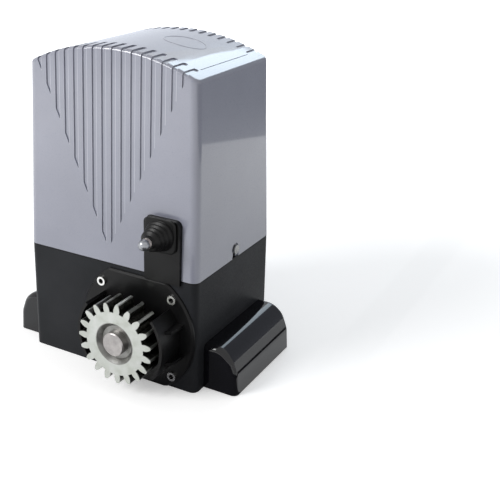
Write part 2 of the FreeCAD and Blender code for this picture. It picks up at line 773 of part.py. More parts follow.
def key_block(extra):
    """The space of the shaft key, with some room on every side."""
    high = shaft_radius + key_proud + extra
    far = gear_back_y - 2 + 3 * extra
    bar = box(0, far - key_length - 3 * extra, -(key_width / 2 + extra), high, key_length + 3 * extra,
              key_width + 2 * extra)
    turned = doc.addObject("Part::Compound", "turned")
    turned.Links = [bar]
    return place(turned, axis_x, 0, axis_z, Rotation(Vector(0, -1, 0), KEY_ANGLE))


node("pinion_gear", make_pinion())

wheel_radius = worm_module * wheel_teeth / 2
wheel_front = worm_y - wheel_width / 2
wheel_back = worm_y + wheel_width / 2
rear_bearing_near = chamber_back - bearing_rear_width
shaft_front = gear_face_y - shaft_proud
wheel_hub = size("wheel_hub", 24, "bronze wheel's iron hub")
wheel_seat = size("wheel_seat", 15, "output shaft in the worm wheel")
rear_journal = size("rear_journal", 12.5, "output shaft at its rear bearing")
sheet.recompute()

shaft = fuse(rod_y(axis_x, axis_z, shaft_front, front_y + 1, shaft_radius),
             rod_y(axis_x, axis_z, front_y + 0.5, wheel_front + 0.5, journal_radius),
             rod_y(axis_x, axis_z, wheel_front - 8, wheel_back, wheel_seat),
             rod_y(axis_x, axis_z, wheel_back - 1, chamber_back, rear_journal))
shaft_chamfer = doc.addObject("Part::Chamfer", "shaft_chamfer")
shaft_chamfer.Base = shaft
doc.recompute()
rim = [number + 1 for number, edge in enumerate(shaft.Shape.Edges)
       if edge.BoundBox.YMax < shaft_front.value + 0.01]
shaft_chamfer.Edges = [(number, 1.0, 1.0) for number in rim]
node("output_shaft", cut(shaft_chamfer, key_block(0)))
key_seat = rod_y(axis_x, axis_z, gear_face_y, front_y, shaft_radius - 4)
node("shaft_key", cut(key_block(-KEY_FLOAT / 2), key_seat))
node("pinion_spacer", ring_y(axis_x, axis_z, gear_back_y, flange_face + 0.6, shaft_radius + fit_gap,
                             shaft_radius + 5))
node("output_seal", ring_y(axis_x, axis_z, front_y + 0.3, front_y + seal_width, journal_radius + fit_gap,
                           seal_radius))


def twisted_wheel():
    """The worm wheel's toothed rim: its face is turned along the width by the worm's lead."""
    slope = worm_module.value / (2 * worm_radius.value)
    turn = math.degrees(wheel_width.value / 2 * slope / wheel_radius.value)
    thinning = worm_backlash.value / 2
    sections = []
    for side in (-1, 0, 1):
        face = gear_face(wheel_teeth.value, worm_module.value, thinning, 180 / wheel_teeth.value)
        centre = Vector(axis_x.value, 0, axis_z.value)
        face.rotate(centre, Vector(0, 1, 0), turn * side)
        face.translate(Vector(0, worm_y.value + side * wheel_width.value / 2, 0))
        sections.append(face.OuterWire)
    return made(Part.makeLoft(sections, True, True), "wheel_rim")


node("worm_wheel", cut(twisted_wheel(), rod_y(axis_x, axis_z, wheel_front - 1, wheel_back + 1, wheel_hub)))
hub = ring_y(axis_x, axis_z, wheel_front, wheel_back, wheel_seat, wheel_hub)
node("wheel_hub", hub)


def bearing_y(name, near, width, inner, outer):
    """A sealed ball bearing about the output axis, drawn as one closed ring with its grooves."""
    race = ring_y(axis_x, axis_z, near, near + width, inner, outer)
    groove_in = inner + (outer - inner) * 0.3
    groove_out = inner + (outer - inner) * 0.7
    grooves = [ring_y(axis_x, axis_z, near - 1, near + 0.8, groove_in, groove_out),
               ring_y(axis_x, axis_z, near + width - 0.8, near + width + 1, groove_in, groove_out)]
    node(name, cut(race, *grooves))


def bearing_z(name, low, width, inner, outer):
    race = ring_z(worm_x, worm_y, low, low + width, inner, outer)
    groove_in = inner + (outer - inner) * 0.3
    groove_out = inner + (outer - inner) * 0.7
    grooves = [ring_z(worm_x, worm_y, low - 1, low + 0.8, groove_in, groove_out),
               ring_z(worm_x, worm_y, low + width - 0.8, low + width + 1, groove_in, groove_out)]
    node(name, cut(race, *grooves))


bearing_y("output_bearing_front", front_bearing_near, bearing_front_width, journal_radius + fit_gap,
          bearing_front_radius)
bearing_y("output_bearing_rear", rear_bearing_near, bearing_rear_width, rear_journal + fit_gap,
          bearing_rear_radius)

# ---------------------------------------------------------------- gearbox lid
lid_top = base_height
lid_hub_top = base_height + 6
lid_hub = motor_bearing_radius + boss_wall
lower_bearing_low = lid_hub_top - motor_bearing_width - 1
worm_bearing_low = base_floor + 2


def make_lid():
    body = new_body("gearbox_lid")
    plate = sketch_on(body, "XY_Plane", chamber_height)
    gap = seat_gap / 2
    draw_rectangle(plate, chamber_left - chamber_ledge + gap, inner_x - gap, gap - inner_y,
                   chamber_back + chamber_ledge - gap, corner_radius - gap)
    pad(body, plate, lid_top - chamber_height)
    hub_sketch = sketch_on(body, "XY_Plane", chamber_height - 5)
    draw_circle(hub_sketch, worm_x, worm_y, lid_hub)
    pad(body, hub_sketch, lid_hub_top - chamber_height + 5)
    seat = sketch_on(body, "XY_Plane", lid_hub_top + 1)
    draw_circle(seat, worm_x, worm_y, motor_bearing_radius + fit_gap / 5)
    pocket(body, seat, motor_bearing_width + 2)
    through = sketch_on(body, "XY_Plane", lid_hub_top + 1)
    draw_circle(through, worm_x, worm_y, motor_shaft_radius + 4)
    pocket(body, through, lid_hub_top - chamber_height + 10)
    return body


node("gearbox_lid", make_lid())
lid_screw_radius = size("lid_screw_radius", 3, "M6 lid screws")
sheet.recompute()
lid_corners = [(x, y) for x in (chamber_left - chamber_ledge + 9, inner_x - 9)
               for y in (9 - inner_y, chamber_back + chamber_ledge - 9)]
node("lid_screws", group(*[rod_z(x, y, lid_top, lid_top + lid_screw_radius, lid_screw_radius * 1.7)
                           for x, y in lid_corners]))

# ---------------------------------------------------------------- motor
bearing_z("worm_bearing_lower", worm_bearing_low, worm_bearing_width, worm_journal_radius + fit_gap,
          worm_bearing_radius)
bearing_z("motor_bearing_lower", lower_bearing_low, motor_bearing_width, motor_shaft_radius + fit_gap,
          motor_bearing_radius)
stator_low = lid_hub_top + shield_height
stator_top = stator_low + stator_height
shield_top = stator_top + shield_height
upper_bearing_low = shield_top - shield_wall - motor_bearing_width + 2
bearing_z("motor_bearing_upper", upper_bearing_low, motor_bearing_width, motor_shaft_radius + fit_gap,
          motor_bearing_radius)
bolt_circle = size("bolt_circle", 57, "through bolts from the motor axis")
bolt_radius = size("bolt_radius", 2, "through bolts of the motor")
sheet.recompute()
bolt_places = [(worm_x + sx * bolt_circle / math.sqrt(2), worm_y + sy * bolt_circle / math.sqrt(2))
               for sx in (-1, 1) for sy in (-1, 1)]


def end_shield(name, low, high, floor_low, hub_low, hub_high, seat_low):
    """A cup with a bearing hub and four ears for the through bolts."""
    ears = [rod_z(x, y, low, high, bolt_radius + 3) for x, y in bolt_places]
    bars = []
    for turn in (45, 135):
        bar = box(-bolt_circle, -(bolt_radius + 3), low, 2 * bolt_circle, 2 * (bolt_radius + 3),
                  length(high) - low)
        spun = doc.addObject("Part::Compound", "spun")
        spun.Links = [bar]
        bars.append(place(spun, worm_x, worm_y, 0, Rotation(Vector(0, 0, 1), turn)))
    outside = fuse(rod_z(worm_x, worm_y, low, high, stator_radius), *ears, *bars)
    well_low = floor_low + shield_wall if name == "motor_lower_shield" else low - 1
    well_high = high + 1 if name == "motor_lower_shield" else floor_low
    well = rod_z(worm_x, worm_y, well_low, well_high, stator_radius - shield_wall)
    hub = rod_z(worm_x, worm_y, hub_low, hub_high, motor_bearing_radius + shield_wall)
    seat = rod_z(worm_x, worm_y, seat_low, length(seat_low) + motor_bearing_width + 20,
                 motor_bearing_radius + fit_gap / 5)
    if name == "motor_lower_shield":
        seat = rod_z(worm_x, worm_y, low - 1, high + 1, motor_shaft_radius + 3)
    through = rod_z(worm_x, worm_y, low - 1, high + 1, motor_shaft_radius + 3)
    holes = [rod_z(x, y, low - 1, high + 1, bolt_radius + fit_gap) for x, y in bolt_places]
    node(name, cut(fuse(cut(outside, well), hub), seat, through, *holes))


end_shield("motor_lower_shield", lid_hub_top, stator_low, lid_hub_top, lid_hub_top, lid_hub_top + shield_wall,
           lid_hub_top)
end_shield("motor_upper_shield", stator_top, shield_top, shield_top - shield_wall, upper_bearing_low - 1,
           shield_top, upper_bearing_low)
node("motor_bolts", group(*[
    fuse(rod_z(x, y, lid_hub_top + 2, shield_top + 1, bolt_radius),
         rod_z(x, y, shield_top, shield_top + 2 * bolt_radius, bolt_radius * 1.9)) for x, y in bolt_places]))
stator_ring = ring_z(worm_x, worm_y, stator_low, stator_top, stator_bore, stator_radius)
node("motor_stator", stator_ring)
winding_in = stator_bore + 4
winding_out = stator_radius - shield_wall - 3
node("motor_windings", group(
    ring_z(worm_x, worm_y, stator_low - 17, stator_low, winding_in, winding_out),
    ring_z(worm_x, worm_y, stator_top, stator_top + 15, winding_in, winding_out)))
rotor_radius = stator_bore - air_gap
node("rotor_core", fuse(
    ring_z(worm_x, worm_y, stator_low, stator_top, motor_shaft_radius + 1, rotor_radius),
    ring_z(worm_x, worm_y, stator_low - 5, stator_top + 5, motor_shaft_radius + 4, rotor_radius - 4)))

# ---------------------------------------------------------------- worm shaft
worm_lead = worm_module * math.pi
worm_turns = 6
worm_low = axis_z - worm_turns / 2 * worm_lead


def worm_thread():
    """A trapezoid thread swept along a right-hand helix."""
    lead = worm_lead.value
    pitch = worm_radius.value
    tip = pitch + worm_module.value - 0.25
    foot = pitch - 1.2 * worm_module.value - 0.5
    half = (lead / 2 - worm_backlash.value) / 2
    slant = math.tan(PRESSURE)
    helix = Part.makeHelix(lead, worm_turns * lead, pitch)
    outline = [(foot, -half - (pitch - foot) * slant), (tip, -half + (tip - pitch) * slant),
               (tip, half - (tip - pitch) * slant), (foot, half + (pitch - foot) * slant)]
    points = [Vector(x, 0, z) for x, z in outline]
    wire = Part.makePolygon(points + points[:1])
    shape = Part.Wire(helix).makePipeShell([wire], True, True)
    shape.translate(Vector(worm_x.value, worm_y.value, worm_low.value))
    return made(shape, "worm_thread")


worm_foot = worm_radius - worm_module * 1.2
node("worm_shaft", fuse(
    worm_thread(),
    rod_z(worm_x, worm_y, worm_bearing_low, worm_bearing_low + worm_bearing_width + 3, worm_journal_radius),
    rod_z(worm_x, worm_y, worm_bearing_low + worm_bearing_width + 1, lower_bearing_low + 1, worm_foot),
    rod_z(worm_x, worm_y, lower_bearing_low - 2, shield_top + 3, motor_shaft_radius),
    rod_z(worm_x, worm_y, stator_low, stator_top, motor_shaft_radius + 1)))

# ---------------------------------------------------------------- electrics
capacitor_x = size("capacitor_x", 68, "capacitor, sideways")
capacitor_y = size("capacitor_y", 20, "capacitor, front to back")
capacitor_radius = size("capacitor_radius", 19, "capacitor")
capacitor_height = size("capacitor_height", 78, "capacitor")
sheet.recompute()
capacitor_low = lid_top + 1.5
node("capacitor", fuse(
    rod_z(capacitor_x, capacitor_y, capacitor_low, capacitor_low + capacitor_height, capacitor_radius),
    rod_z(capacitor_x, capacitor_y, capacitor_low + capacitor_height, capacitor_low + capacitor_height + 3,
          capacitor_radius - 3),
    box(capacitor_x - 8, capacitor_y - 0.4, capacitor_low + capacitor_height + 2, 5, 0.8, 9),
    box(capacitor_x + 3, capacitor_y - 0.4, capacitor_low + capacitor_height + 2, 5, 0.8, 9)))
node("capacitor_clamp", cut(
    fuse(rod_z(capacitor_x, capacitor_y, lid_top, lid_top + 14, capacitor_radius + 1.5),
         box(capacitor_x - 5, capacitor_y - capacitor_radius - 12, lid_top, 10, capacitor_radius + 4, 1.5)),
    rod_z(capacitor_x, capacitor_y, lid_top + 1.5, lid_top + 20, capacitor_radius + fit_gap)))

bracket_y = bay_back_side + 8.5
bracket_right = size("bracket_right", 62, "board bracket, right edge")
bracket_left = size("bracket_left", -86, "board bracket, left edge")
bracket_top = size("bracket_top", 236, "board bracket, top edge")
bracket_sheet = size("bracket_sheet", 1.5, "sheet metal of the board bracket")
standoff_height = size("standoff_height", 5, "standoffs under the control board")
sheet.recompute()
board_face = bracket_y - standoff_height - board_thickness
board_low = base_height + 10
node("board_bracket", fuse(
    box_between(bracket_left, bracket_right, chamber_back + chamber_ledge + 0.3, bracket_y + bracket_sheet,
                base_height, base_height + bracket_sheet),
    box_between(bracket_left, bracket_right, bracket_y, bracket_y + bracket_sheet, base_height, bracket_top)))
standoff_radius = 3
board_sides = (bracket_left + 6, bracket_right - 6)
board_levels = (board_low + 5, bracket_top - 8)
board_corners = [(x, z) for x in board_sides for z in board_levels]
standoffs = [rod_y(x, z, bracket_y - standoff_height, bracket_y, standoff_radius) for x, z in board_corners]
node("board_standoffs", group(*standoffs))
board = box_between(bracket_left + 1, bracket_right - 1, board_face, board_face + board_thickness, board_low,
                    bracket_top - 3)
node("control_board", cut(board, *[
    rod_y(x, z, board_face - 1, bracket_y, 1.6) for x, z in board_corners]))
node("transformer", fuse(
    box(bracket_left + 3, board_face - 25, board_low + 50, 26, 25, 30),
    box(bracket_left + 6, board_face - 27, board_low + 56, 20, 4, 18)))
relay_width = 19
relay_pitch = 22
relay_depth = 15.5
relay_height = 15
relay_lefts = [bracket_right - relay_width - 7 - relay_pitch * step for step in range(2)]
node("relays", group(*[
    box(left, board_face - relay_depth, board_low + 40, relay_width, relay_depth, relay_height)
    for left in relay_lefts]))
terminal_pitch = 8
terminal_count = 12
terminal_low = board_low + 3
terminal_left = bracket_left + 22
terminal_bar = box(terminal_left, board_face - 10, terminal_low, terminal_pitch * terminal_count, 10, 11)
node("terminal_block", cut(terminal_bar, *[
    rod_y(terminal_left + terminal_pitch * (step + 0.5), terminal_low + 6, board_face - 11, board_face - 6, 2)
    for step in range(terminal_count)]))
node("board_fuse", rod_x(board_face - 4, board_low + 70, bracket_right - 40, bracket_right - 20, 2.6))

# ---------------------------------------------------------------- limit switch
neck_gap = seat_gap
neck_left = neck_x - neck_width / 2
neck_right = neck_x + neck_width / 2
neck_face = flange_face
neck_back = front_y + cover_wall + 0.4
box_front = neck_back
box_back = box_front + 26
box_low = base_height + 20


def make_neck():
    """The tongue in front of the base and in the cover's notch."""
    body = new_body("limit_neck")
    tongue = sketch_on(body, "XZ_Plane", -neck_face)
    draw_rectangle(tongue, neck_left, neck_right, base_height - guard_top_drop + 0.1, neck_top)
    pad(body, tongue, guard_plate - 0.05, True)
    back = sketch_on(body, "XZ_Plane", -(neck_face + 1))
    draw_rectangle(back, neck_left, neck_right, cover_bottom + 0.1, neck_top)
    pad(body, back, neck_back - neck_face - 1, True)
    fillet(body, neck_corner, lambda edge: edge.BoundBox.ZMin > neck_top.value - 0.01
           and edge.BoundBox.XLength < 0.01 and edge.BoundBox.YLength > 0.5)
    hole = sketch_on(body, "XZ_Plane", -(neck_face - 1))
    draw_circle(hole, neck_x, lever_z, boot_tip_radius + 1)
    pocket(body, hole, guard_plate + cover_wall + 3)
    return body


node("limit_neck", make_neck())
lever_pivot_y = box_front + lever_pivot
switch_shell = box_between(neck_left + 1, neck_right - 1, box_front, box_back, box_low, neck_top - 2)
switch_hollow = box_between(neck_left + 3, neck_right - 3, box_front - 1, box_back - 2, box_low + 2,
                            neck_top - 6)
pin_bar_back = box_front + 2 * lever_pivot
pin_bars = [box_between(neck_left + 2.5, neck_right - 2.5, box_front, pin_bar_back, low, low + 3.5)
            for low in (lever_z + 4.3, lever_z - 7.8)]
pin_hole = rod_z(neck_x, lever_pivot_y, lever_z - 9, lever_z + 9, pin_radius + fit_gap)
node("limit_switch_box", cut(fuse(cut(switch_shell, switch_hollow), *pin_bars), pin_hole))
node("microswitches", group(*[
    box(neck_x + side * 11 - 5, box_back - 18, box_low + 8, 10, 15, 16) for side in (-1, 1)]))
boot_front = neck_face - boot_plate - boot_length
boot_nose = boot_front - 2


def boot_disc(near, thick, half, rounded):
    """One layer of the boot: a square with rounded corners and rounded rims."""
    body = new_body("boot_disc")
    outline = sketch_on(body, "XZ_Plane", -(near + thick))
    draw_rectangle(outline, neck_x - half, neck_x + half, lever_z - half, lever_z + half, half * 0.55)
    pad(body, outline, thick)
    if rounded:
        fillet(body, thick * 0.45, lambda edge: edge.BoundBox.YLength < 0.01)
    return body


def make_boot():
    """A plate on the neck and a bellows of square folds that shrink towards the lever's tip."""
    fold = boot_length / boot_folds
    pieces = [boot_disc(neck_face - boot_plate, boot_plate, boot_radius + 1.5, False)]
    for step in range(boot_folds):
        near = neck_face - boot_plate - fold * (step + 1)
        half = boot_radius - (boot_radius - boot_tip_radius) * (step / boot_folds)
        pieces.append(boot_disc(near + fold * 0.15, fold * 0.7, half, True))
    core = boot_tip_radius - 0.8
    pieces.append(rod_y(neck_x, lever_z, boot_front, neck_face - boot_plate / 2, core))
    pieces.append(rod_y(neck_x, lever_z, boot_nose, boot_front + fold / 2, boot_tip_radius))
    return cut(fuse(*pieces), rod_y(neck_x, lever_z, boot_nose - 1, neck_face + 1, boot_tip_radius - 2))


node("limit_boot", make_boot())
tip_back = boot_nose - 0.3
tip_front = tip_back - tip_length
tip_centre = tip_front + tip_radius
lever_bore = rod_z(neck_x, lever_pivot_y, lever_z - 9, lever_z + 9, pin_radius + fit_gap)
node("limit_lever", cut(
    fuse(rod_y(neck_x, lever_z, tip_back - 3, lever_pivot_y, lever_rod),
         rod_z(neck_x, lever_pivot_y, lever_z - 4, lever_z + 4, lever_hub),
         box(neck_x - 2, lever_pivot_y, lever_z - 3, 4, 9, 6)),
    lever_bore))
tip_groove = ring_y(neck_x, lever_z, tip_back - tip_collar - 0.8, tip_back - tip_collar, tip_radius - 0.7,
                    tip_radius + 1)
node("lever_tip", cut(
    fuse(
        rod_y(neck_x, lever_z, tip_centre, tip_back, tip_radius),
        ball(neck_x, tip_centre, lever_z, tip_radius)),
    rod_y(neck_x, lever_z, tip_back - 3, tip_back + 1, lever_rod + fit_gap), tip_groove))
node("lever_pin", rod_z(neck_x, lever_pivot_y, lever_z - 7.5, lever_z + 7.5, pin_radius))

# ---------------------------------------------------------------- foot covers
def make_foot(name, side):
    """A moulded shell over an anchor lug: flat on top near the base, rounded outwards and at its ends."""
    body = new_body(name)
    wall = side * (half_width + fit_gap * 3)
    outer = side * (half_width + foot_width)
    profile = sketch_on(body, "XZ_Plane", -foot_length / 2)
    draw_polygon(profile, [(wall, foot_lift), (outer, foot_lift),
                           (outer - side * foot_draft, foot_height - foot_knee),
                           (outer - side * foot_width * 0.2, foot_height - foot_knee * 0.37),
                           (side * (half_width + foot_flat), foot_height), (wall, foot_height)])
    pad(body, profile, foot_length)

    def shoulder(edge):
        box = edge.BoundBox
        return (box.YLength > foot_length.value - 0.1 and box.ZMin > foot_lift.value + 1
                and abs(box.XMin) > half_width.value + 5 and abs(box.XMax) > half_width.value + 5)

    fillet(body, foot_round, shoulder)

    def end_rim(edge):
        box = edge.BoundBox
        away = max(abs(box.XMin), abs(box.XMax)) > half_width.value + 1
        return box.YLength < 0.01 and away and box.ZMax > foot_lift.value + 1

    fillet(body, foot_end_round, end_rim)

    def open_face(face):
        box = face.BoundBox
        below = box.ZMax < foot_lift.value + 0.01
        return below or (box.XLength < 0.01 and abs(box.XMin - wall.value) < 0.01)

    shell(body, foot_wall, open_face)
    return body


node("foot_cover_left", make_foot("foot_cover_left", -1))
node("foot_cover_right", make_foot("foot_cover_right", 1))

# ---------------------------------------------------------------- cover
def vault_radius(inset):
    """Radius of the roof's arc from its rise over the shoulders, less the inset."""
    half = half_width + cover_overhang - cover_side_draft
    rise = cover_crown - cover_shoulder
    return (half * half + rise * rise) / (2 * rise) - inset


def cover_form(inset, low, name):
    """The cover's outer form moved inwards by an inset: drafted walls under a vaulted roof."""
    body = new_body(name)
    high = cover_crown + 4
    span = cover_shoulder - cover_bottom
    sections = []
    for level in (low, high):
        share = (level - cover_bottom) / span
        u = half_width + cover_overhang - inset - cover_side_draft * share
        v = half_depth + cover_overhang - inset - cover_front_draft * share
        section = sketch_on(body, "XY_Plane", level)
        draw_rectangle(section, -u, u, -v, v, corner_radius + 1 - inset)
        sections.append(section)
    loft = body.newObject("PartDesign::AdditiveLoft", "walls")
    loft.Profile = sections[0]
    loft.Sections = [sections[1]]
    loft.Ruled = True
    doc.recompute()
    radius = vault_radius(inset)
    centre_z = cover_crown - inset - radius
    roof = sketch_on(body, "XZ_Plane", 0)
    reach = half_width.value + 10
    top = high.value + 5
    r, c = radius.value, centre_z.value
    edge_z = c + math.sqrt(r * r - reach * reach)
    start = math.atan2(edge_z - c, reach)
    arc = Part.ArcOfCircle(Part.Circle(Vector(0, c, 0), Vector(0, 0, 1), r), start, math.pi - start)
    roof.addGeometry([arc, Part.LineSegment(Vector(-reach, edge_z, 0), Vector(-reach, top, 0)),
                      Part.LineSegment(Vector(-reach, top, 0), Vector(reach, top, 0)),
                      Part.LineSegment(Vector(reach, top, 0), Vector(reach, edge_z, 0))])
    for first, second in ((0, 1), (1, 2), (2, 3)):
        roof.addConstraint(Sketcher.Constraint("Coincident", first, 2, second, 1))
    roof.addConstraint(Sketcher.Constraint("Coincident", 3, 2, 0, 1))
    hold(roof, "DistanceX", 0, 3, 0)
    hold(roof, "DistanceY", 0, 3, centre_z)
    hold_radius(roof, 0, radius)
    hold(roof, "DistanceX", 1, 1, -(half_width + 10))
    hold(roof, "DistanceX", 1, 2, -(half_width + 10))
    hold(roof, "DistanceY", 1, 2, high + 5)
    hold(roof, "DistanceX", 2, 2, half_width + 10)
    hold(roof, "DistanceY", 2, 2, high + 5)
    hold(roof, "DistanceX", 3, 2, half_width + 10)
    trim = body.newObject("PartDesign::Pocket", "roof")
    trim.Profile = roof
    trim.Midplane = True
    bind(trim, "Length", body_depth + 40)
    doc.recompute()
    shoulder = cover_shoulder.value - inset.value - 3

    def roof_edge(edge):
        return edge.BoundBox.ZMin > shoulder and not upright(edge)

    fillet(body, cover_edge - inset, roof_edge)
    return body


no_inset = flute_depth * 0
outer_form = cover_form(no_inset, cover_bottom, "cover_outer_form")
inner_form = cover_form(cover_wall, cover_bottom - 5, "cover_inner_form")
floor_form = cover_form(flute_depth, cover_bottom - 5, "cover_flute_form")


def flute_band(side, column):
    """The upright band of one flute: it ends on the roof in a half circle."""
    middle = (column + 0.5) * flute_pitch
    round_end = flute_width / 2
    far = half_depth + cover_overhang - flute_roof - cover_front_draft + round_end
    top = cover_crown + 2
    if side < 0:
        band = box_between(middle - round_end, middle + round_end, front_y - 5, -far, flute_low, top)
    else:
        band = box_between(middle - round_end, middle + round_end, far, half_depth + 5, flute_low, top)
    return fuse(band, rod_z(middle, side * far, flute_low, top, round_end))


def flute_floor():
    """Everything under the two slanted lines where the flutes end."""
    body = new_body("flute_floor")
    outline = sketch_on(body, "XZ_Plane", -half_depth - 10)
    reach = half_width + 10
    rise = flute_low + flute_rise * reach
    draw_polygon(outline, [(-reach, base_height), (reach, base_height), (reach, rise), (0, flute_low),
                           (-reach, rise)])
    pad(body, outline, body_depth + 20)
    return body


flute_layer = cut(outer_form, floor_form)
roof_line_low = cover_shoulder - 10
roof_line = box(roof_line_x - roof_line_width / 2, -roof_line_length / 2, roof_line_low, roof_line_width,
                roof_line_length, cover_crown - roof_line_low + 10)
flute_bands = [flute_band(side, column) for side in (-1, 1) for column in range(-flute_pairs, flute_pairs)]
flutes = common(cut(flute_layer, flute_floor()), group(roof_line, *flute_bands))

notch = fuse(
    box_between(neck_left - neck_gap, neck_right + neck_gap, front_y - 5, front_y + 12, cover_bottom - 5,
                neck_top + neck_gap - neck_corner),
    box_between(neck_left - neck_gap + neck_corner, neck_right + neck_gap - neck_corner, front_y - 5,
                front_y + 12, cover_bottom, neck_top + neck_gap),
    *[rod_y(x, neck_top + neck_gap - neck_corner, front_y - 5, front_y + 12, neck_corner)
      for x in (neck_left - neck_gap + neck_corner, neck_right + neck_gap - neck_corner)])
screw_slot = cover_screw_radius + 0.3
screw_cuts = []
for side in (-1, 1):
    wall_low = half_width - 12 if side > 0 else -half_width - 12
    screw_cuts.append(box(wall_low, -screw_slot, cover_bottom - 5, 24, 2 * screw_slot,
                          cover_screw_z - cover_bottom + 5))
    screw_cuts.append(rod_x(0, cover_screw_z, wall_low, wall_low + 24, screw_slot))
    recess_x = half_width - 1.2 if side > 0 else -half_width - 18.8
    screw_cuts.append(box(recess_x, -6.5, cover_bottom - 5, 20, 13, cover_screw_z - cover_bottom + 5))
    screw_cuts.append(rod_x(0, cover_screw_z, recess_x, recess_x + 20, 6.5))
cover_walls = cut(outer_form, inner_form)
node("top_cover", cut(cover_walls, flutes, notch, *screw_cuts))
seal_setback = 0.2
seal_width = 2.6


def seal_block(setback, low, high):
    """A block between two heights, set back from the sides of the base."""
    reach = half_width - setback
    return box_between(-reach, reach, front_y + setback, -setback - front_y, low, high)


node("cover_seal", cut(
    seal_block(seal_setback, base_height, cover_bottom),
    seal_block(seal_setback + seal_width, base_height - 1, cover_bottom + 1)))


def cover_screw(side):
    """A pan-head screw with its washer in the recess, threaded into the tab."""
    face = half_width - 1.1
    head = rod_x(0, cover_screw_z, face, face + 3, 4.6)
    shank = rod_x(0, cover_screw_z, tab_inner, face + 1, cover_screw_radius)
    if side < 0:
        head = rod_x(0, cover_screw_z, -face - 3, -face, 4.6)
        shank = rod_x(0, cover_screw_z, -face - 1, -tab_inner, cover_screw_radius)
    return fuse(head, shank)


node("cover_screws", group(cover_screw(-1), cover_screw(1)))

# ---------------------------------------------------------------- checks and files
doc.recompute()
for thing in doc.Objects:
    if "Invalid" in thing.State or "Error" in thing.State:
        raise ValueError(thing.Name + " failed: " + str(thing.State))
for name, thing in nodes.items():
    shape = thing.Shape
    if shape.isNull() or not shape.isValid():
        raise ValueError(name + " has no valid shape")
    shape.exportStep("parts/" + name + ".step")
    print(name, len(shape.Solids), round(shape.Volume))
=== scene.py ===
# %% [markdown]
# # Sliding gate motor
#
# A motor that stands beside a sliding gate and drives a toothed rack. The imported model
# brings every rigid piece at its real size. This script gives those pieces their finishes,
# models the rubber boot round the limit lever as a real bellows, the seal under the cover
# and a plain oval on the roof, and lights the whole. Units are metres, +Z is up, and the
# pinion looks towards -Y.

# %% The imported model
import math

import bmesh
import bpy
from mathutils import Matrix, Vector


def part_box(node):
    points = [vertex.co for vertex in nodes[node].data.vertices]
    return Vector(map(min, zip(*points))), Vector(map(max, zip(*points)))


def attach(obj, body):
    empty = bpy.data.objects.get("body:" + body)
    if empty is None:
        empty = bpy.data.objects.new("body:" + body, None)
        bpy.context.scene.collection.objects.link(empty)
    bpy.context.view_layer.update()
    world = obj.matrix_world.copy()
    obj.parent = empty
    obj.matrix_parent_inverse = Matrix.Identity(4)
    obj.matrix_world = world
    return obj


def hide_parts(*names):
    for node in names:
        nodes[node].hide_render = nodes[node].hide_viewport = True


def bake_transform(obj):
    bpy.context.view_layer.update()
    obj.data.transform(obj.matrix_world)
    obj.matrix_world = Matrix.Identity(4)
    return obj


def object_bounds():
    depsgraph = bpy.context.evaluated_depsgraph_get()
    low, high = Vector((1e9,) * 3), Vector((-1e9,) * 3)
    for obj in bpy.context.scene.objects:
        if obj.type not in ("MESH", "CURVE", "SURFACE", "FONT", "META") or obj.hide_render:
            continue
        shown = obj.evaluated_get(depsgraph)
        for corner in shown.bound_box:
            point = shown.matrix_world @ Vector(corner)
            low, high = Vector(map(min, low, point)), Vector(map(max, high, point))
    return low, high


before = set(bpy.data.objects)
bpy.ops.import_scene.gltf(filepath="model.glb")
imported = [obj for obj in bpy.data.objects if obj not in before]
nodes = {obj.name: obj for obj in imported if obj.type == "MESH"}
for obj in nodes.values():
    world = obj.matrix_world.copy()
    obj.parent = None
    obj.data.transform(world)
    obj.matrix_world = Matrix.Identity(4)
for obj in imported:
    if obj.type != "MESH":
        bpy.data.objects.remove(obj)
cad_low, cad_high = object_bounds()
MM = 0.001
print("nodes:", len(nodes), "box in mm:", [round((h - l) / MM) for l, h in zip(cad_low, cad_high)])

# %% [markdown]
# ## Places read from the model
#
# The finishes need a few places: the axis that the pinion turns on, the axis of the motor
# and the lever's axis. Each is read from the box of a piece that is round about it, so a
# finish stays centred when the model changes.

# %% Axes
def middle(node):
    low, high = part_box(node)
    return (low + high) / 2


pinion_low, pinion_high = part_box("pinion_gear")
pinion_axis = middle("pinion_gear")
motor_axis = middle("rotor_core")
lever_axis = middle("limit_boot")
tip_radius = (pinion_high.x - pinion_low.x) / 2
print("pinion radius in mm:", round(tip_radius / MM, 1))

# %% [markdown]
# ## A finish and its parts
#
# Every finish is one Principled shader. What is the same all over is set on the shader's
# own sockets, and only what varies gets nodes. Patterns read Object coordinates, which are
# metres in the part's own frame, so a grain of half a millimetre is written as such.

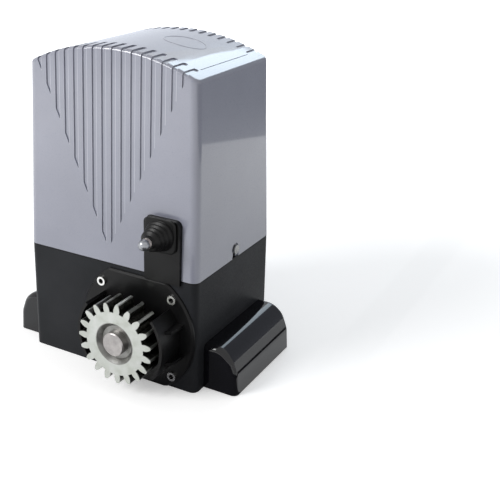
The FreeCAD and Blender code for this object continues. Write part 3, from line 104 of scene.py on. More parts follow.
# %% The finish class
class Finish:
    """A material with short calls for the patterns that feed its shader."""

    def __init__(self, name, **constants):
        self.material = bpy.data.materials.new(name)
        self.material.use_nodes = True
        self.tree = self.material.node_tree
        self.shader = self.tree.nodes["Principled BSDF"]
        for socket, value in constants.items():
            self.shader.inputs[socket.replace("_", " ")].default_value = value
        self.place = self.add("ShaderNodeTexCoord").outputs["Object"]

    def add(self, kind, **settings):
        node = self.tree.nodes.new(kind)
        for name, value in settings.items():
            setattr(node, name, value)
        return node

    def feed(self, socket, source):
        """Join a source to a socket, or write it there when it is a number or a tuple."""
        if isinstance(source, bpy.types.NodeSocket):
            self.tree.links.new(source, socket)
        else:
            socket.default_value = source

    def centred(self, centre, scale=(1, 1, 1)):
        """Object coordinates moved so that a place of the part is the origin."""
        node = self.add("ShaderNodeMapping")
        self.feed(node.inputs["Vector"], self.place)
        node.inputs["Location"].default_value = [-c * s for c, s in zip(centre, scale)]
        node.inputs["Scale"].default_value = scale
        return node.outputs["Vector"]

    def noise(self, size, detail=3.0):
        """Cloudy noise whose features are about size metres wide."""
        node = self.add("ShaderNodeTexNoise")
        self.feed(node.inputs["Vector"], self.place)
        node.inputs["Scale"].default_value = 1 / size
        node.inputs["Detail"].default_value = detail
        return node.outputs["Fac"]

    def maths(self, operation, first, second=0.0):
        node = self.add("ShaderNodeMath", operation=operation)
        self.feed(node.inputs[0], first)
        self.feed(node.inputs[1], second)
        return node.outputs[0]

    def step(self, value, low, high, at_low=0.0, at_high=1.0):
        """A soft step from one number to another as a value goes from low to high."""
        node = self.add("ShaderNodeMapRange", interpolation_type="SMOOTHSTEP")
        node.inputs["From Min"].default_value = low
        node.inputs["From Max"].default_value = high
        node.inputs["To Min"].default_value = at_low
        node.inputs["To Max"].default_value = at_high
        self.feed(node.inputs["Value"], value)
        return node.outputs["Result"]

    def shades(self, value, *stops):
        """Colours along a value: each stop is a place from 0 to 1 and a colour."""
        node = self.add("ShaderNodeValToRGB")
        ramp = node.color_ramp
        while len(ramp.elements) < len(stops):
            ramp.elements.new(0.5)
        for element, (spot, colour) in zip(ramp.elements, stops):
            element.position = spot
            element.color = (*colour, 1)
        self.feed(node.inputs["Fac"], value)
        return node.outputs["Color"]

    def blend(self, share, first, second):
        """A mix of two colours, each a socket or red, green and blue."""
        node = self.add("ShaderNodeMix", data_type="RGBA")
        first_colour, second_colour, mixed = node.inputs[6], node.inputs[7], node.outputs[2]
        self.feed(node.inputs["Factor"], share)
        for socket, source in ((first_colour, first), (second_colour, second)):
            self.feed(socket, source if isinstance(source, bpy.types.NodeSocket) else (*source, 1))
        return mixed

    def axis_value(self, vector, name):
        node = self.add("ShaderNodeSeparateXYZ")
        self.feed(node.inputs[0], vector)
        return node.outputs[name]

    def radius(self, centre, along):
        """Distance from an axis through a centre that runs along Y or Z."""
        flat = (1, 0, 1) if along == "Y" else (1, 1, 0)
        node = self.add("ShaderNodeVectorMath", operation="LENGTH")
        self.feed(node.inputs[0], self.centred(centre, flat))
        return node.outputs["Value"]

    def colour(self, source):
        self.feed(self.shader.inputs["Base Color"], source)

    def rough(self, source):
        self.feed(self.shader.inputs["Roughness"], source)

    def relief(self, height, depth, strength=1.0):
        """Bump whose height of 1 stands for depth metres."""
        node = self.add("ShaderNodeBump")
        node.inputs["Strength"].default_value = strength
        node.inputs["Distance"].default_value = depth
        self.feed(node.inputs["Height"], height)
        self.feed(self.shader.inputs["Normal"], node.outputs["Normal"])

    def on(self, *names):
        """Give the finish to CAD nodes."""
        for name in names:
            slots = nodes[name].data.materials
            slots.clear()
            slots.append(self.material)
        print(self.material.name, "on", ", ".join(names))


# %% [markdown]
# ## The cover's grey
#
# The cover is moulded in a silver-grey plastic with a satin gloss. Moulded plastic isn't
# one flat colour: it has slow clouds of tone where it cooled, and a very fine grain that
# softens reflections. Two noises do that, and a thin clear coat keeps the sharp reflection
# that the roof shows on its flat stretches. The rounded right-hand edge of each flute
# catches the light, but the solid's edge is sharp, so a thin paler line is painted there:
# a painted highlight that stays put whatever the light does.

# %% Silver-grey moulded plastic
def flute_edge_highlight(finish):
    """Painted highlight: nearly 1 on the right-hand edge of each flute, front and back, else 0.

    The flutes repeat across the cover, so the sideways place modulo their spacing finds
    every edge. Two slanted lines that meet low in the middle say where the flutes end.
    """
    flute_pitch = 11.1 * MM
    half_flute = 2.5 * MM
    line_reach = 0.42 * MM
    flutes_each_side = 8
    lowest_end = 132 * MM
    rise_per_width = 2.1
    roof_half = 52 * MM
    most = 0.9
    sideways = finish.axis_value(finish.place, "X")
    within = finish.maths("FLOORED_MODULO", sideways, flute_pitch)
    off_edge = finish.maths("ABSOLUTE", finish.maths("SUBTRACT", within, flute_pitch / 2 + half_flute))
    edge = finish.step(off_edge, 0.3 * line_reach, line_reach, 1.0, 0.0)
    away = finish.maths("ABSOLUTE", sideways)
    end = finish.maths("ADD", finish.maths("MULTIPLY", away, rise_per_width), lowest_end)
    above = finish.maths("GREATER_THAN", finish.axis_value(finish.place, "Z"), end)
    across = finish.maths("LESS_THAN", away, flutes_each_side * flute_pitch)
    off_middle = finish.maths("ABSOLUTE", finish.axis_value(finish.place, "Y"))
    on_wall = finish.maths("GREATER_THAN", off_middle, roof_half)
    shown = finish.maths("MULTIPLY", finish.maths("MULTIPLY", above, across), on_wall)
    return finish.maths("MULTIPLY", finish.maths("MULTIPLY", edge, shown), most)


def silver_plastic():
    finish = Finish("silver_grey_plastic", IOR=1.5, Coat_Weight=0.9, Coat_Roughness=0.05)
    clouds = finish.noise(60 * MM, 2)
    plain = finish.shades(clouds, (0.3, (0.218, 0.226, 0.278)), (0.7, (0.243, 0.252, 0.309)))
    # The flutes' right-hand edges are painted paler: a painted highlight.
    finish.colour(finish.blend(flute_edge_highlight(finish), plain, (0.56, 0.58, 0.64)))
    grain = finish.noise(0.7 * MM, 2)
    finish.rough(finish.step(grain, 0.3, 0.7, 0.27, 0.36))
    finish.relief(grain, 0.03 * MM, 0.5)
    return finish


cover_finish = silver_plastic()
cover_finish.on("top_cover")

# %% [markdown]
# ## The base's powder coat
#
# The cast base is powder coated: nearly black, with the pebbled skin that powder leaves
# when it melts. The pebbles are real relief of a few hundredths of a millimetre, so they
# are bump and not colour. Their tops are rubbed a little smoother than the hollows.

# %% Black powder coat
def powder_coat():
    finish = Finish("black_powder_coat", Specular_IOR_Level=0.12)
    pebbles = finish.noise(1.1 * MM, 2)
    clouds = finish.noise(45 * MM, 3)
    finish.colour(finish.shades(clouds, (0.3, (0.013, 0.014, 0.016)), (0.75, (0.02, 0.021, 0.024))))
    finish.rough(finish.step(pebbles, 0.35, 0.65, 0.5, 0.38))
    finish.relief(pebbles, 0.12 * MM, 0.6)
    return finish


powder_coat().on("base_casting")

# %% [markdown]
# ## Black plastics and rubber
#
# The pinion guard and the switch neck are moulded with a fine eroded texture, the foot
# covers with a polished one, and the boot and seals are rubber. One function makes them
# all, because they differ only in tone, gloss and the size and depth of their grain. It
# serves the mouldings on the control board too.

# %% Black mouldings
def black_moulding(name, dark, light, gloss, grain_size, grain_depth, **constants):
    finish = Finish(name, **constants)
    clouds = finish.noise(30 * MM, 3)
    finish.colour(finish.shades(clouds, (0.3, dark), (0.7, light)))
    grain = finish.noise(grain_size, 2)
    finish.rough(finish.step(grain, 0.3, 0.7, gloss - 0.04, gloss + 0.05))
    finish.relief(grain, grain_depth, 0.5)
    return finish


black_moulding("eroded_black_plastic", (0.003, 0.003, 0.0032), (0.006, 0.006, 0.0063), 0.34,
               0.5 * MM, 0.05 * MM, Specular_IOR_Level=0.22).on("pinion_guard", "limit_neck")
black_moulding("polished_black_plastic", (0.003, 0.003, 0.0042), (0.005, 0.005, 0.007), 0.07,
               6 * MM, 0.01 * MM, Specular_IOR_Level=0.45).on("foot_cover_left", "foot_cover_right")
rubber = black_moulding("black_rubber", (0.002, 0.002, 0.0021), (0.004, 0.004, 0.0042), 0.36,
                        0.9 * MM, 0.06 * MM, Specular_IOR_Level=0.2)
rubber.on("limit_boot", "cover_seal", "cable_bush", "output_seal")
black_moulding("component_black", (0.012, 0.012, 0.013), (0.02, 0.02, 0.021), 0.42, 0.4 * MM, 0.03 * MM,
               IOR=1.5).on("limit_switch_box", "microswitches", "relays", "transformer", "capacitor_clamp")

# %% [markdown]
# ## The pinion
#
# The pinion is zinc plated steel. Its face and the lands at the tips are rubbed bright and
# pale. The recess round the shaft is painted darker, a painted shade, and the flanks behind
# the face are dark with grease from the rack and with painted shade in the gaps between the
# teeth. Distance from the axis and depth behind the face tell those places apart, so the
# grease and the painted shade follow the real form. Turning marks run round the axis, and
# they come from that same distance.

# %% Zinc plate with grease and painted shade in the teeth
def zinc_pinion():
    finish = Finish("zinc_plated_pinion", Metallic=1.0)
    away = finish.radius(pinion_axis, "Y")
    behind = finish.axis_value(finish.centred((0, pinion_low.y, 0)), "Y")
    stains = finish.noise(9 * MM, 4)
    rubbed = finish.shades(stains, (0.3, (0.44, 0.46, 0.42)), (0.55, (0.52, 0.54, 0.51)),
                           (0.8, (0.58, 0.59, 0.575)))
    # Dark grease that also stands in for the shade between the teeth: a painted shade.
    grease_and_painted_shade = finish.shades(finish.noise(3 * MM, 3), (0.3, (0.02, 0.02, 0.018)), (0.8, (0.16, 0.16, 0.14)))
    below_tip = finish.step(away, tip_radius - 1.0 * MM, tip_radius - 0.4 * MM, 1.0, 0.0)
    off_face = finish.step(behind, 0.2 * MM, 1.5 * MM)
    outside_recess = finish.step(away, 22.5 * MM, 24 * MM)
    share = finish.maths("MULTIPLY", finish.maths("MULTIPLY", below_tip, off_face), outside_recess)
    past_rim = finish.step(away, 21.2 * MM, 22 * MM)
    # The recess round the shaft is painted darker than the face: a painted shade.
    recess_painted_shade = finish.shades(stains, (0.3, (0.17, 0.17, 0.16)), (0.7, (0.3, 0.3, 0.29)))
    pale = finish.blend(past_rim, recess_painted_shade, rubbed)
    finish.colour(finish.blend(share, pale, grease_and_painted_shade))
    finish.rough(finish.step(stains, 0.3, 0.7, 0.3, 0.42))
    rings = finish.maths("SINE", finish.maths("MULTIPLY", away, 2 * math.pi / (0.6 * MM)))
    finish.relief(finish.maths("ADD", rings, finish.noise(0.5 * MM)), 0.012 * MM, 0.5)
    return finish


zinc_pinion().on("pinion_gear")

# %% [markdown]
# ## Turned and rolled steel
#
# Shafts and bearings are turned, so their ends show fine rings about their own axis.
# Screws are zinc plated, and the two that hold the cover get a darker copy of the same
# steel. The function takes the axis and its direction. The lever's tip is a dome with a
# collar behind it painted paler, a painted highlight.

# %% Steel
def turned_steel(name, dark, light, gloss, centre, along, ring=0.45 * MM):
    finish = Finish(name, Metallic=1.0)
    finish.colour(finish.shades(finish.noise(6 * MM, 4), (0.3, dark), (0.7, light)))
    away = finish.radius(centre, along)
    wobble = finish.maths("MULTIPLY", finish.noise(2 * MM), 0.4 * MM)
    wavering = finish.maths("ADD", away, wobble)
    rings = finish.maths("SINE", finish.maths("MULTIPLY", wavering, 2 * math.pi / ring))
    finish.rough(finish.step(rings, -1, 1, gloss - 0.05, gloss + 0.07))
    finish.relief(rings, 0.006 * MM, 0.6)
    return finish


turned_steel("turned_output_steel", (0.32, 0.305, 0.3), (0.48, 0.46, 0.45), 0.34, pinion_axis, "Y").on(
    "output_shaft", "shaft_key", "pinion_spacer", "output_bearing_front", "output_bearing_rear")
turned_steel("turned_motor_steel", (0.46, 0.46, 0.46), (0.62, 0.62, 0.61), 0.28, motor_axis, "Z").on(
    "worm_shaft", "worm_bearing_lower", "motor_bearing_lower", "motor_bearing_upper", "limit_lever")
turned_steel("bright_screws", (0.62, 0.62, 0.61), (0.8, 0.8, 0.78), 0.22, pinion_axis, "Y", 1.5 * MM).on(
    "lid_screws", "motor_bolts", "board_standoffs", "lever_pin")
# The cover's two screws get a darker copy of the screw steel.
turned_steel("darker_screw_steel", (0.26, 0.26, 0.26), (0.42, 0.42, 0.41), 0.3, pinion_axis, "Y", 1.5 * MM).on(
    "cover_screws")


def lever_cap():
    """The lever's steel tip: a grey dome in front of a collar painted bright, a painted highlight."""
    finish = Finish("polished_tip", Metallic=1.0)
    low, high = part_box("lever_tip")
    length = high.y - low.y
    backwards = finish.axis_value(finish.centred(low), "Y")
    # The collar is painted pale: a painted highlight.
    collar_highlight = finish.step(backwards, length - 3.6 * MM, length - 3.0 * MM)
    stains = finish.noise(2 * MM)
    dome = finish.shades(stains, (0.3, (0.24, 0.25, 0.27)), (0.7, (0.36, 0.37, 0.39)))
    finish.colour(finish.blend(collar_highlight, dome, (0.66, 0.6, 0.56)))
    finish.rough(finish.step(stains, 0.3, 0.7, 0.3, 0.38))
    return finish


lever_cap().on("lever_tip")

# %% [markdown]
# ## The guard's socket screws
#
# Four socket screws hold the guard, the same distance from the pinion's axis both ways.
# Their rims are bright, and their sockets are painted nearly black, a painted shade in the
# holes. Taking the absolute distance sideways and upwards folds the four places onto one,
# so one small distance finds every socket.

# %% Bright rims and sockets painted dark as shade
def socket_screws():
    finish = Finish("guard_socket_screws", Metallic=1.0)
    low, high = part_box("guard_screws")
    head_radius = 4.625 * MM
    socket = 2.4 * MM
    rim_start = 2.9 * MM
    offset = (high.x - low.x) / 2 - head_radius
    centred = finish.centred(((low.x + high.x) / 2, 0, (low.z + high.z) / 2))
    folded = []
    for name in ("X", "Z"):
        side = finish.maths("ABSOLUTE", finish.axis_value(centred, name))
        off = finish.maths("SUBTRACT", side, offset)
        folded.append(finish.maths("MULTIPLY", off, off))
    away = finish.maths("SQRT", finish.maths("ADD", *folded))
    rim_over_socket_shade = finish.step(away, socket, rim_start)
    stains = finish.shades(finish.noise(2 * MM), (0.3, (0.66, 0.66, 0.64)), (0.7, (0.84, 0.84, 0.82)))
    # The sockets are painted nearly black: a painted shade in the holes.
    finish.colour(finish.blend(rim_over_socket_shade, (0.012, 0.012, 0.012), stains))
    finish.rough(finish.step(away, socket, rim_start, 0.6, 0.24))
    return finish


socket_screws().on("guard_screws")

# %% [markdown]
# ## Castings, sheet and bronze
#
# Inside, the worm wheel's rim is bronze on an iron hub, the lid and the motor's end shields
# are die cast, and the board sits on zinc coated sheet. Cast skins are grainy, sheet has
# the large flakes of its zinc coat, and bronze is smooth with warm stains.

# %% Metals inside
def cast_metal(name, dark, light, gloss, grain, depth):
    finish = Finish(name, Metallic=1.0)
    finish.colour(finish.shades(finish.noise(8 * MM, 4), (0.3, dark), (0.7, light)))
    skin = finish.noise(grain, 4)
    finish.rough(finish.step(skin, 0.3, 0.7, gloss - 0.06, gloss + 0.08))
    finish.relief(skin, depth, 0.6)
    return finish


cast_metal("die_cast_alloy", (0.46, 0.47, 0.48), (0.6, 0.61, 0.62), 0.45, 1.2 * MM, 0.08 * MM).on(
    "gearbox_lid", "motor_lower_shield", "motor_upper_shield")
cast_metal("machined_iron", (0.16, 0.16, 0.16), (0.26, 0.255, 0.25), 0.45, 1 * MM, 0.05 * MM).on("wheel_hub")
cast_metal("wheel_bronze", (0.48, 0.3, 0.13), (0.68, 0.46, 0.22), 0.3, 2 * MM, 0.02 * MM).on("worm_wheel")


def zinc_sheet():
    finish = Finish("zinc_coated_sheet", Metallic=1.0)
    flakes = finish.add("ShaderNodeTexVoronoi")
    finish.feed(flakes.inputs["Vector"], finish.place)
    flakes.inputs["Scale"].default_value = 1 / (7 * MM)
    tone = finish.axis_value(flakes.outputs["Color"], "X")
    finish.colour(finish.shades(tone, (0.0, (0.5, 0.51, 0.52)), (1.0, (0.68, 0.69, 0.7))))
    finish.rough(finish.step(tone, 0, 1, 0.3, 0.48))
    return finish


zinc_sheet().on("board_bracket")

# %% [markdown]
# ## Stack, winding and rotor
#
# The stator is a stack of half-millimetre sheets, so its side is finely striped along the
# motor's axis. The winding heads are lacquered copper wire that runs round the axis.

# %% Stripes along the motor's axis
def striped(name, dark, light, pitch, gloss, **constants):
    finish = Finish(name, **constants)
    height = finish.axis_value(finish.place, "Z")
    wave = finish.maths("SINE", finish.maths("MULTIPLY", height, 2 * math.pi / pitch))
    clouds = finish.step(finish.noise(7 * MM), 0, 1, -0.2, 0.2)
    shade = finish.maths("ADD", finish.step(wave, -1, 1, 0.2, 0.7), clouds)
    finish.colour(finish.shades(shade, (0.1, dark), (0.8, light)))
    finish.rough(finish.step(wave, -1, 1, gloss + 0.1, gloss))
    finish.relief(wave, pitch / 5, 0.6)
    return finish


striped("stacked_sheets", (0.12, 0.12, 0.125), (0.34, 0.34, 0.35), 0.5 * MM, 0.4, Metallic=1.0).on(
    "motor_stator", "rotor_core")
striped("lacquered_copper", (0.24, 0.07, 0.025), (0.72, 0.3, 0.13), 1.1 * MM, 0.22, Metallic=1.0,
        Coat_Weight=0.5).on("motor_windings")

# %% [markdown]
# ## The control board
#
# The board is green lacquer over copper tracks. Tracks run square to the edges, so a brick
# pattern with thin mortar gives them, in the plane of the board. The terminal block is a
# plain green moulding, the fuse is glass, and the capacitor is a pale can.

# %% Board and its parts
def board_lacquer():
    finish = Finish("board_lacquer", Roughness=0.3, Coat_Weight=0.3)
    turned = finish.add("ShaderNodeMapping")
    finish.feed(turned.inputs["Vector"], finish.place)
    turned.inputs["Rotation"].default_value = (math.pi / 2, 0, 0)
    tracks = finish.add("ShaderNodeTexBrick")
    finish.feed(tracks.inputs["Vector"], turned.outputs["Vector"])
    for name, number in (("Scale", 1.0), ("Brick Width", 14 * MM), ("Row Height", 3.2 * MM),
                         ("Mortar Size", 0.35 * MM), ("Mortar Smooth", 0.1)):
        tracks.inputs[name].default_value = number
    board = finish.shades(finish.noise(20 * MM), (0.3, (0.01, 0.13, 0.045)), (0.7, (0.016, 0.18, 0.065)))
    finish.colour(finish.blend(tracks.outputs["Fac"], board, (0.05, 0.3, 0.13)))
    return finish


board_lacquer().on("control_board")
black_moulding("terminal_green", (0.03, 0.24, 0.08), (0.045, 0.32, 0.11), 0.4, 0.5 * MM, 0.03 * MM).on(
    "terminal_block")
black_moulding("capacitor_can", (0.42, 0.43, 0.44), (0.52, 0.53, 0.54), 0.36, 1 * MM, 0.02 * MM).on(
    "capacitor")


def fuse_glass():
    finish = Finish("fuse_glass", Transmission_Weight=0.85, IOR=1.45, Roughness=0.05)
    ends = finish.noise(4 * MM)
    finish.colour(finish.shades(ends, (0.3, (0.78, 0.84, 0.83)), (0.7, (0.9, 0.94, 0.93))))
    return finish


fuse_glass().on("board_fuse")

# %% [markdown]
# ## The bellows boot
#
# A rubber boot keeps water out where the limit lever leaves its housing. It is one moulded
# skin: a flat square plate, round folds that shrink towards the front, and a collar that
# grips the lever. A lathe can't turn the plate's square into a circle. So the outline starts
# as one ring, and the ring is extruded from station to station along the lever, each time
# with its own size and squareness.

# %% Stations along the boot
plate_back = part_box("limit_neck")[0].y - 0.02 * MM
plate_half = 17.5 * MM
plate_thick = 2.6 * MM
plate_square = 0.9
edge_round = 0.5 * MM
collar_half = 6.2 * MM
collar_length = 2.6 * MM
boot_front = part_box("limit_boot")[0].y
folds = 4
first_crest = 15.2 * MM
crest_loss = 4.4 * MM
fold_depth = 2.2 * MM
fold_start = plate_back - plate_thick
nose_start = boot_front + collar_length
fold_pitch = (fold_start - nose_start) / folds


def fold_stations():
    """(place along Y, half width, squareness) for each ring of the outer skin, back to front."""
    stations = [(plate_back, plate_half, plate_square),
                (fold_start + edge_round, plate_half, plate_square),
                (fold_start, plate_half - edge_round, plate_square)]
    for fold in range(folds):
        share = fold / (folds - 1)
        crest = first_crest - crest_loss * share
        square = 0.15 * (1 - share)
        valley = crest - fold_depth
        back = fold_start - fold * fold_pitch
        stations += [(back - 0.02 * fold_pitch, valley, square),
                     (back - 0.2 * fold_pitch, crest - 0.7 * MM, square),
                     (back - 0.4 * fold_pitch, crest, square),
                     (back - 0.6 * fold_pitch, crest - 0.5 * MM, square),
                     (back - 0.92 * fold_pitch, valley - 1.2 * MM, square)]
    stations += [(nose_start, collar_half, 0.0),
                 (boot_front + edge_round, collar_half, 0.0),
                 (boot_front, collar_half - edge_round, 0.0)]
    return stations


print("boot stations:", len(fold_stations()), "fold pitch in mm:", round(fold_pitch / MM, 2))

# %% [markdown]
# ## Turning stations into a skin
#
# A ring of edges is extruded once per station and its points are moved to the station's
# outline. Squareness pushes the ring out towards its corners. After the front collar the
# ring turns inwards and runs back through the boot, and the last ring is bridged to the
# first, which closes the rubber into one solid skin.

# %% The boot's mesh
corner_reach = 1.26


def set_ring(ring, y, half, square):
    """Move a ring of points to a rounded square, or to a circle where square is 0."""
    for vertex in ring:
        way = math.atan2(vertex.co.z - lever_axis.z, vertex.co.x - lever_axis.x)
        flat_side = max(abs(math.cos(way)), abs(math.sin(way)))
        reach = half * ((1 - square) + square * min(1 / flat_side, corner_reach))
        vertex.co = (lever_axis.x + reach * math.cos(way), y, lever_axis.z + reach * math.sin(way))


def extrude_ring(mesh, edges):
    """Extrude a closed ring of edges, and give back the new edges and their points."""
    grown = bmesh.ops.extrude_edge_only(mesh, edges=edges)["geom"]
    new_edges = [item for item in grown if isinstance(item, bmesh.types.BMEdge)
                 and all(v in grown for v in item.verts)]
    return new_edges, [item for item in grown if isinstance(item, bmesh.types.BMVert)]


def bellows_boot():
    mesh = bmesh.new()
    ring = bmesh.ops.create_circle(mesh, segments=64, radius=plate_half)["verts"]
    for vertex in ring:
        vertex.co = (lever_axis.x + vertex.co.x, plate_back, lever_axis.z + vertex.co.y)
    first = list(mesh.edges)
    outer = fold_stations()
    set_ring(ring, *outer[0])
    edges = first
    throat = 3.4 * MM
    mouth = 7.4 * MM
    inner = [(boot_front + 0.4 * MM, throat, 0.0), (nose_start, throat, 0.0),
             (fold_start, mouth, 0.2), (plate_back, mouth, 0.2)]
    for station in outer[1:] + inner:
        edges, ring = extrude_ring(mesh, edges)
        set_ring(ring, *station)
    bmesh.ops.bridge_loops(mesh, edges=first + edges)
    bmesh.ops.recalc_face_normals(mesh, faces=mesh.faces)
    return mesh


def finished(mesh, name, material, smooth=True):
    """Turn a bmesh into an object at the origin, with its finish."""
    data = bpy.data.meshes.new(name)
    mesh.to_mesh(data)
    mesh.free()
    data.polygons.foreach_set("use_smooth", [smooth] * len(data.polygons))
    data.materials.append(material)
    piece = bpy.data.objects.new(name, data)
    bpy.context.scene.collection.objects.link(piece)
    print(name, "faces:", len(data.polygons))
    return piece


boot = finished(bellows_boot(), "bellows_boot", rubber.material)
smoother = boot.modifiers.new("rounder", "SUBSURF")
smoother.levels = smoother.render_levels = 1
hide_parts("limit_boot")
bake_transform(boot)

# %% [markdown]
# ## A plain oval on the roof
#
# The roof carries a raised oval line, left plain. It is a bead a few tenths of a millimetre
# high that follows the roof's arc. A circle is stretched to the oval, and four rings give
# its section: the outer foot, the two edges of the crest and the inner foot. Each point
# then gets the roof's own height.

# %% Roof arc and oval bead
cover_low, cover_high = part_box("top_cover")


def roof_height(x):
    """Height of the roof's outside at a place across it, from its crown and shoulders."""
    half = (cover_high.x - cover_low.x) / 2 - 4.2 * MM
    rise = 23 * MM
    radius = (half * half + rise * rise) / (2 * rise)
    return cover_high.z - radius + math.sqrt(radius * radius - x * x)


def oval_bead():
    mesh = bmesh.new()
    bmesh.ops.create_circle(mesh, segments=96, radius=1)
    first = list(mesh.edges)
    centre = Vector((37 * MM, 6 * MM))
    half_wide = 22 * MM
    half_deep = 17 * MM
    bead = 0.7 * MM
    crest = 0.35 * MM
    sunk = -0.25 * MM
    rings = [(list(mesh.verts), bead, sunk)]
    edges = first
    for grow, lift in ((bead * 0.5, crest), (-bead * 0.5, crest), (-bead, sunk)):
        edges, ring = extrude_ring(mesh, edges)
        rings.append((ring, grow, lift))
    for ring, grow, lift in rings:
        for vertex in ring:
            way = math.atan2(vertex.co.y, vertex.co.x)
            vertex.co = ((half_wide + grow) * math.cos(way), (half_deep + grow) * math.sin(way), lift)
    bmesh.ops.bridge_loops(mesh, edges=first + edges)
    for vertex in mesh.verts:
        x = centre.x + vertex.co.x
        vertex.co = (x, centre.y + vertex.co.y, roof_height(x) + vertex.co.z)
    bmesh.ops.recalc_face_normals(mesh, faces=mesh.faces)
    return mesh


oval = finished(oval_bead(), "roof_oval", cover_finish.material)
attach(oval, "cover")

# %% [markdown]
# ## The seal under the cover
#
# A thin rubber band lies between the base and the cover and follows their rounded corners.
# Two rectangles, one inside the other, have their four corners bevelled round. Bridging
# them gives a flat band, and extruding that gives it its height.

# %% Seal with rounded corners
seal_low, seal_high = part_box("cover_seal")
seal_corner = 6.5 * MM
seal_width = 2.6 * MM


def rounded_frame(low, high, corner, width):
    """A closed band between two heights: a rounded rectangle with a constant width."""
    mesh = bmesh.new()
    half_x = (high.x - low.x) / 2
    half_y = (high.y - low.y) / 2
    for inset in (0.0, width):
        made = bmesh.ops.create_grid(mesh, x_segments=1, y_segments=1, size=1)["verts"]
        for vertex in made:
            vertex.co = (vertex.co.x * (half_x - inset), vertex.co.y * (half_y - inset), low.z)
        bmesh.ops.bevel(mesh, geom=made, offset=corner - inset, segments=8, profile=0.5,
                        affect="VERTICES", material=-1)
    outlines = [edge for face in list(mesh.faces) for edge in face.edges]
    bmesh.ops.delete(mesh, geom=list(mesh.faces), context="FACES_ONLY")
    band = bmesh.ops.bridge_loops(mesh, edges=outlines)["faces"]
    grown = bmesh.ops.extrude_face_region(mesh, geom=band)["geom"]
    bmesh.ops.translate(mesh, verts=[g for g in grown if isinstance(g, bmesh.types.BMVert)],
                        vec=(0, 0, high.z - low.z))
    bmesh.ops.recalc_face_normals(mesh, faces=mesh.faces)
    return mesh


band = rounded_frame(seal_low, seal_high, seal_corner, seal_width)
seal = finished(band, "rubber_seal", rubber.material, False)
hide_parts("cover_seal")
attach(seal, "base")

# %% [markdown]
# ## Floor and background
#
# The motor stands on a white studio floor that runs into a white background. Both are
# white to the camera and in reflections, and the floor still takes the motor's shadow,
# because it glows only a little near the motor and more farther off. The background is the
# world, whose light on the object is kept lower than its look.

# %% Floor
def seen_or_reflected(tree):
    """1 for rays that show a thing to the camera, directly or in a reflection, else 0."""
    path = tree.nodes.new("ShaderNodeLightPath")
    seen = path.outputs["Is Camera Ray"]
    for name in ("Is Glossy Ray", "Is Transmission Ray"):
        either = tree.nodes.new("ShaderNodeMath")
        either.operation = "MAXIMUM"
        tree.links.new(seen, either.inputs[0])
        tree.links.new(path.outputs[name], either.inputs[1])
        seen = either.outputs[0]
    return seen


def glow_where_seen(finish, near_strength):
    """A little added white where the floor is looked at, and more of it far from the motor."""
    near = 0.35
    far_off = 1.4
    finish.shader.inputs["Emission Color"].default_value = (1, 1, 1, 1)
    far = finish.step(finish.radius((0, 0, 0), "Z"), near, far_off, near_strength, 1.0)
    glow = finish.maths("MULTIPLY", seen_or_reflected(finish.tree), far)
    finish.feed(finish.shader.inputs["Emission Strength"], glow)


def white_floor():
    floor_half = 60
    under = 0.2 * MM
    mesh = bmesh.new()
    bmesh.ops.create_grid(mesh, x_segments=1, y_segments=1, size=floor_half)
    bmesh.ops.translate(mesh, verts=mesh.verts, vec=(0, 0, cad_low.z - under))
    finish = Finish("studio_floor", Roughness=0.9)
    finish.colour(finish.shades(finish.noise(0.5, 1), (0.3, (0.93, 0.93, 0.93)), (0.7, (0.95, 0.95, 0.95))))
    glow_where_seen(finish, 0.36)
    floor = finished(mesh, "studio_floor", finish.material, False)


white_floor()

# %% World
def white_world(light):
    """White where it is seen or reflected, and light strong where it lights the object."""
    world = bpy.data.worlds.new("studio")
    bpy.context.scene.world = world
    world.use_nodes = True
    tree = world.node_tree
    background = tree.nodes["Background"]
    background.inputs["Color"].default_value = (1, 1, 1, 1)
    strength = tree.nodes.new("ShaderNodeMapRange")
    strength.inputs["To Min"].default_value = light
    strength.inputs["To Max"].default_value = 1.0
    tree.links.new(seen_or_reflected(tree), strength.inputs["Value"])
    tree.links.new(strength.outputs["Result"], background.inputs["Strength"])


white_world(0.46)

# %% [markdown]
# ## Cards for the reflections
#
# Gloss shows its surroundings, and a studio that is white all round makes black plastic
# look grey. So cards stand where the gloss looks, and only reflections see them. Three dark
# ones lie on the floor: beside the motor, in front of its right side, and far off at an
# angle, whose edge crosses the cover's right wall. A grey one stands behind to the right,
# for the foot cover, and a pale bluish one behind, for the roof. None of them shades the
# motor or shows to the camera.

# %% Cards
def reflected_card(name, centre, size, tone, turn=0.0):
    """A flat card of a size round a centre, turned about the upright by an angle in degrees."""
    mesh = bmesh.new()
    bmesh.ops.create_cube(mesh, size=1)
    bmesh.ops.scale(mesh, verts=mesh.verts, vec=size)
    bmesh.ops.rotate(mesh, verts=mesh.verts, matrix=Matrix.Rotation(math.radians(turn), 3, "Z"))
    bmesh.ops.translate(mesh, verts=mesh.verts, vec=centre)
    finish = Finish(name, Roughness=1.0, Specular_IOR_Level=0.0)
    finish.colour((0, 0, 0, 1))
    finish.shader.inputs["Emission Color"].default_value = (*tone, 1)
    finish.shader.inputs["Emission Strength"].default_value = 1.0
    card = finished(mesh, name, finish.material, False)
    for kind in ("camera", "diffuse", "transmission", "volume_scatter", "shadow"):
        setattr(card, "visible_" + kind, False)


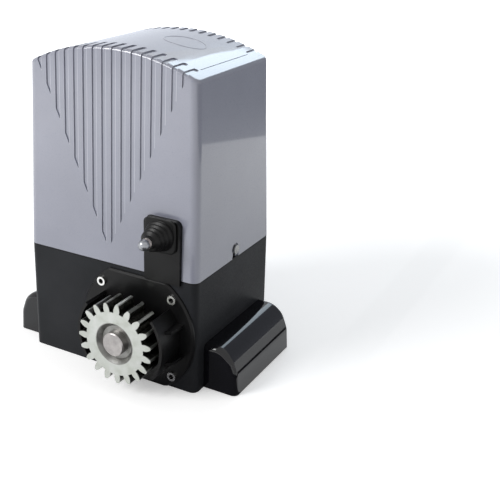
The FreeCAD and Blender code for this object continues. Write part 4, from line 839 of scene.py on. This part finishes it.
thin = 0.1 * MM
floor_z = cad_low.z
reflected_card("side_card", (0.2, 0.1, floor_z), (0.045, 1.2, thin), (0.04, 0.04, 0.045))
reflected_card("front_card", (0.2, -0.25, floor_z), (0.3, 0.4, thin), (0.12, 0.12, 0.13))
reflected_card("far_card", (1.555, 1.11, floor_z), (2.0, 5.0, thin), (0.25, 0.27, 0.32), 35.5)
reflected_card("right_card", (2.1, 2.5, 1.3), (4.0, thin, 2.6), (0.4, 0.42, 0.48))
reflected_card("back_card", (0, 2.6, 0.775), (8.0, thin, 1.55), (0.95, 1.0, 1.1))

# %% [markdown]
# ## Lamps
#
# One large soft lamp stands high in front and to the left, so the fluted front is the
# bright side, and the right side falls into shade. A cooler one stands behind and above,
# and the glossy roof and the foot covers' shoulders show it. Each lamp is aimed at the
# middle of the motor.

# %% Lamps
target = (cad_low + cad_high) / 2


def soft_lamp(name, place, width, power, tint=(1, 1, 1)):
    lamp = bpy.data.lights.new(name, "AREA")
    lamp.shape = "DISK"
    lamp.size = width
    lamp.energy = power
    lamp.color = tint
    holder = bpy.data.objects.new(name, lamp)
    holder.location = place
    holder.rotation_euler = (target - holder.location).to_track_quat("-Z", "Y").to_euler()
    bpy.context.scene.collection.objects.link(holder)
    print(name, "at", [round(c, 2) for c in holder.location])


soft_lamp("key_lamp", (-1.1, -1.7, 1.4), 1.1, 37)
soft_lamp("back_lamp", (-0.3, 1.8, 1.75), 1.1, 9, (0.7, 0.86, 1.0))

# %% [markdown]
# ## Camera
#
# The camera stands in front, 32 degrees to the right, and looks down 18 degrees. The lens
# is a little long, so the walls stay nearly upright. A shift sets the motor at the left of
# the frame without turning the camera away from it.

# %% Camera
def studio_camera():
    data = bpy.data.cameras.new("studio_camera")
    data.sensor_width = 36
    data.lens = 63.34
    data.shift_x = 0.156
    data.shift_y = -0.139
    camera = bpy.data.objects.new("studio_camera", data)
    camera.location = (0.4796, -0.7261, 0.4707)
    camera.rotation_euler = (math.radians(71.6), 0, math.radians(32))
    bpy.context.scene.collection.objects.link(camera)
    bpy.context.scene.camera = camera


studio_camera()
bpy.context.scene.view_settings.view_transform = "Standard"
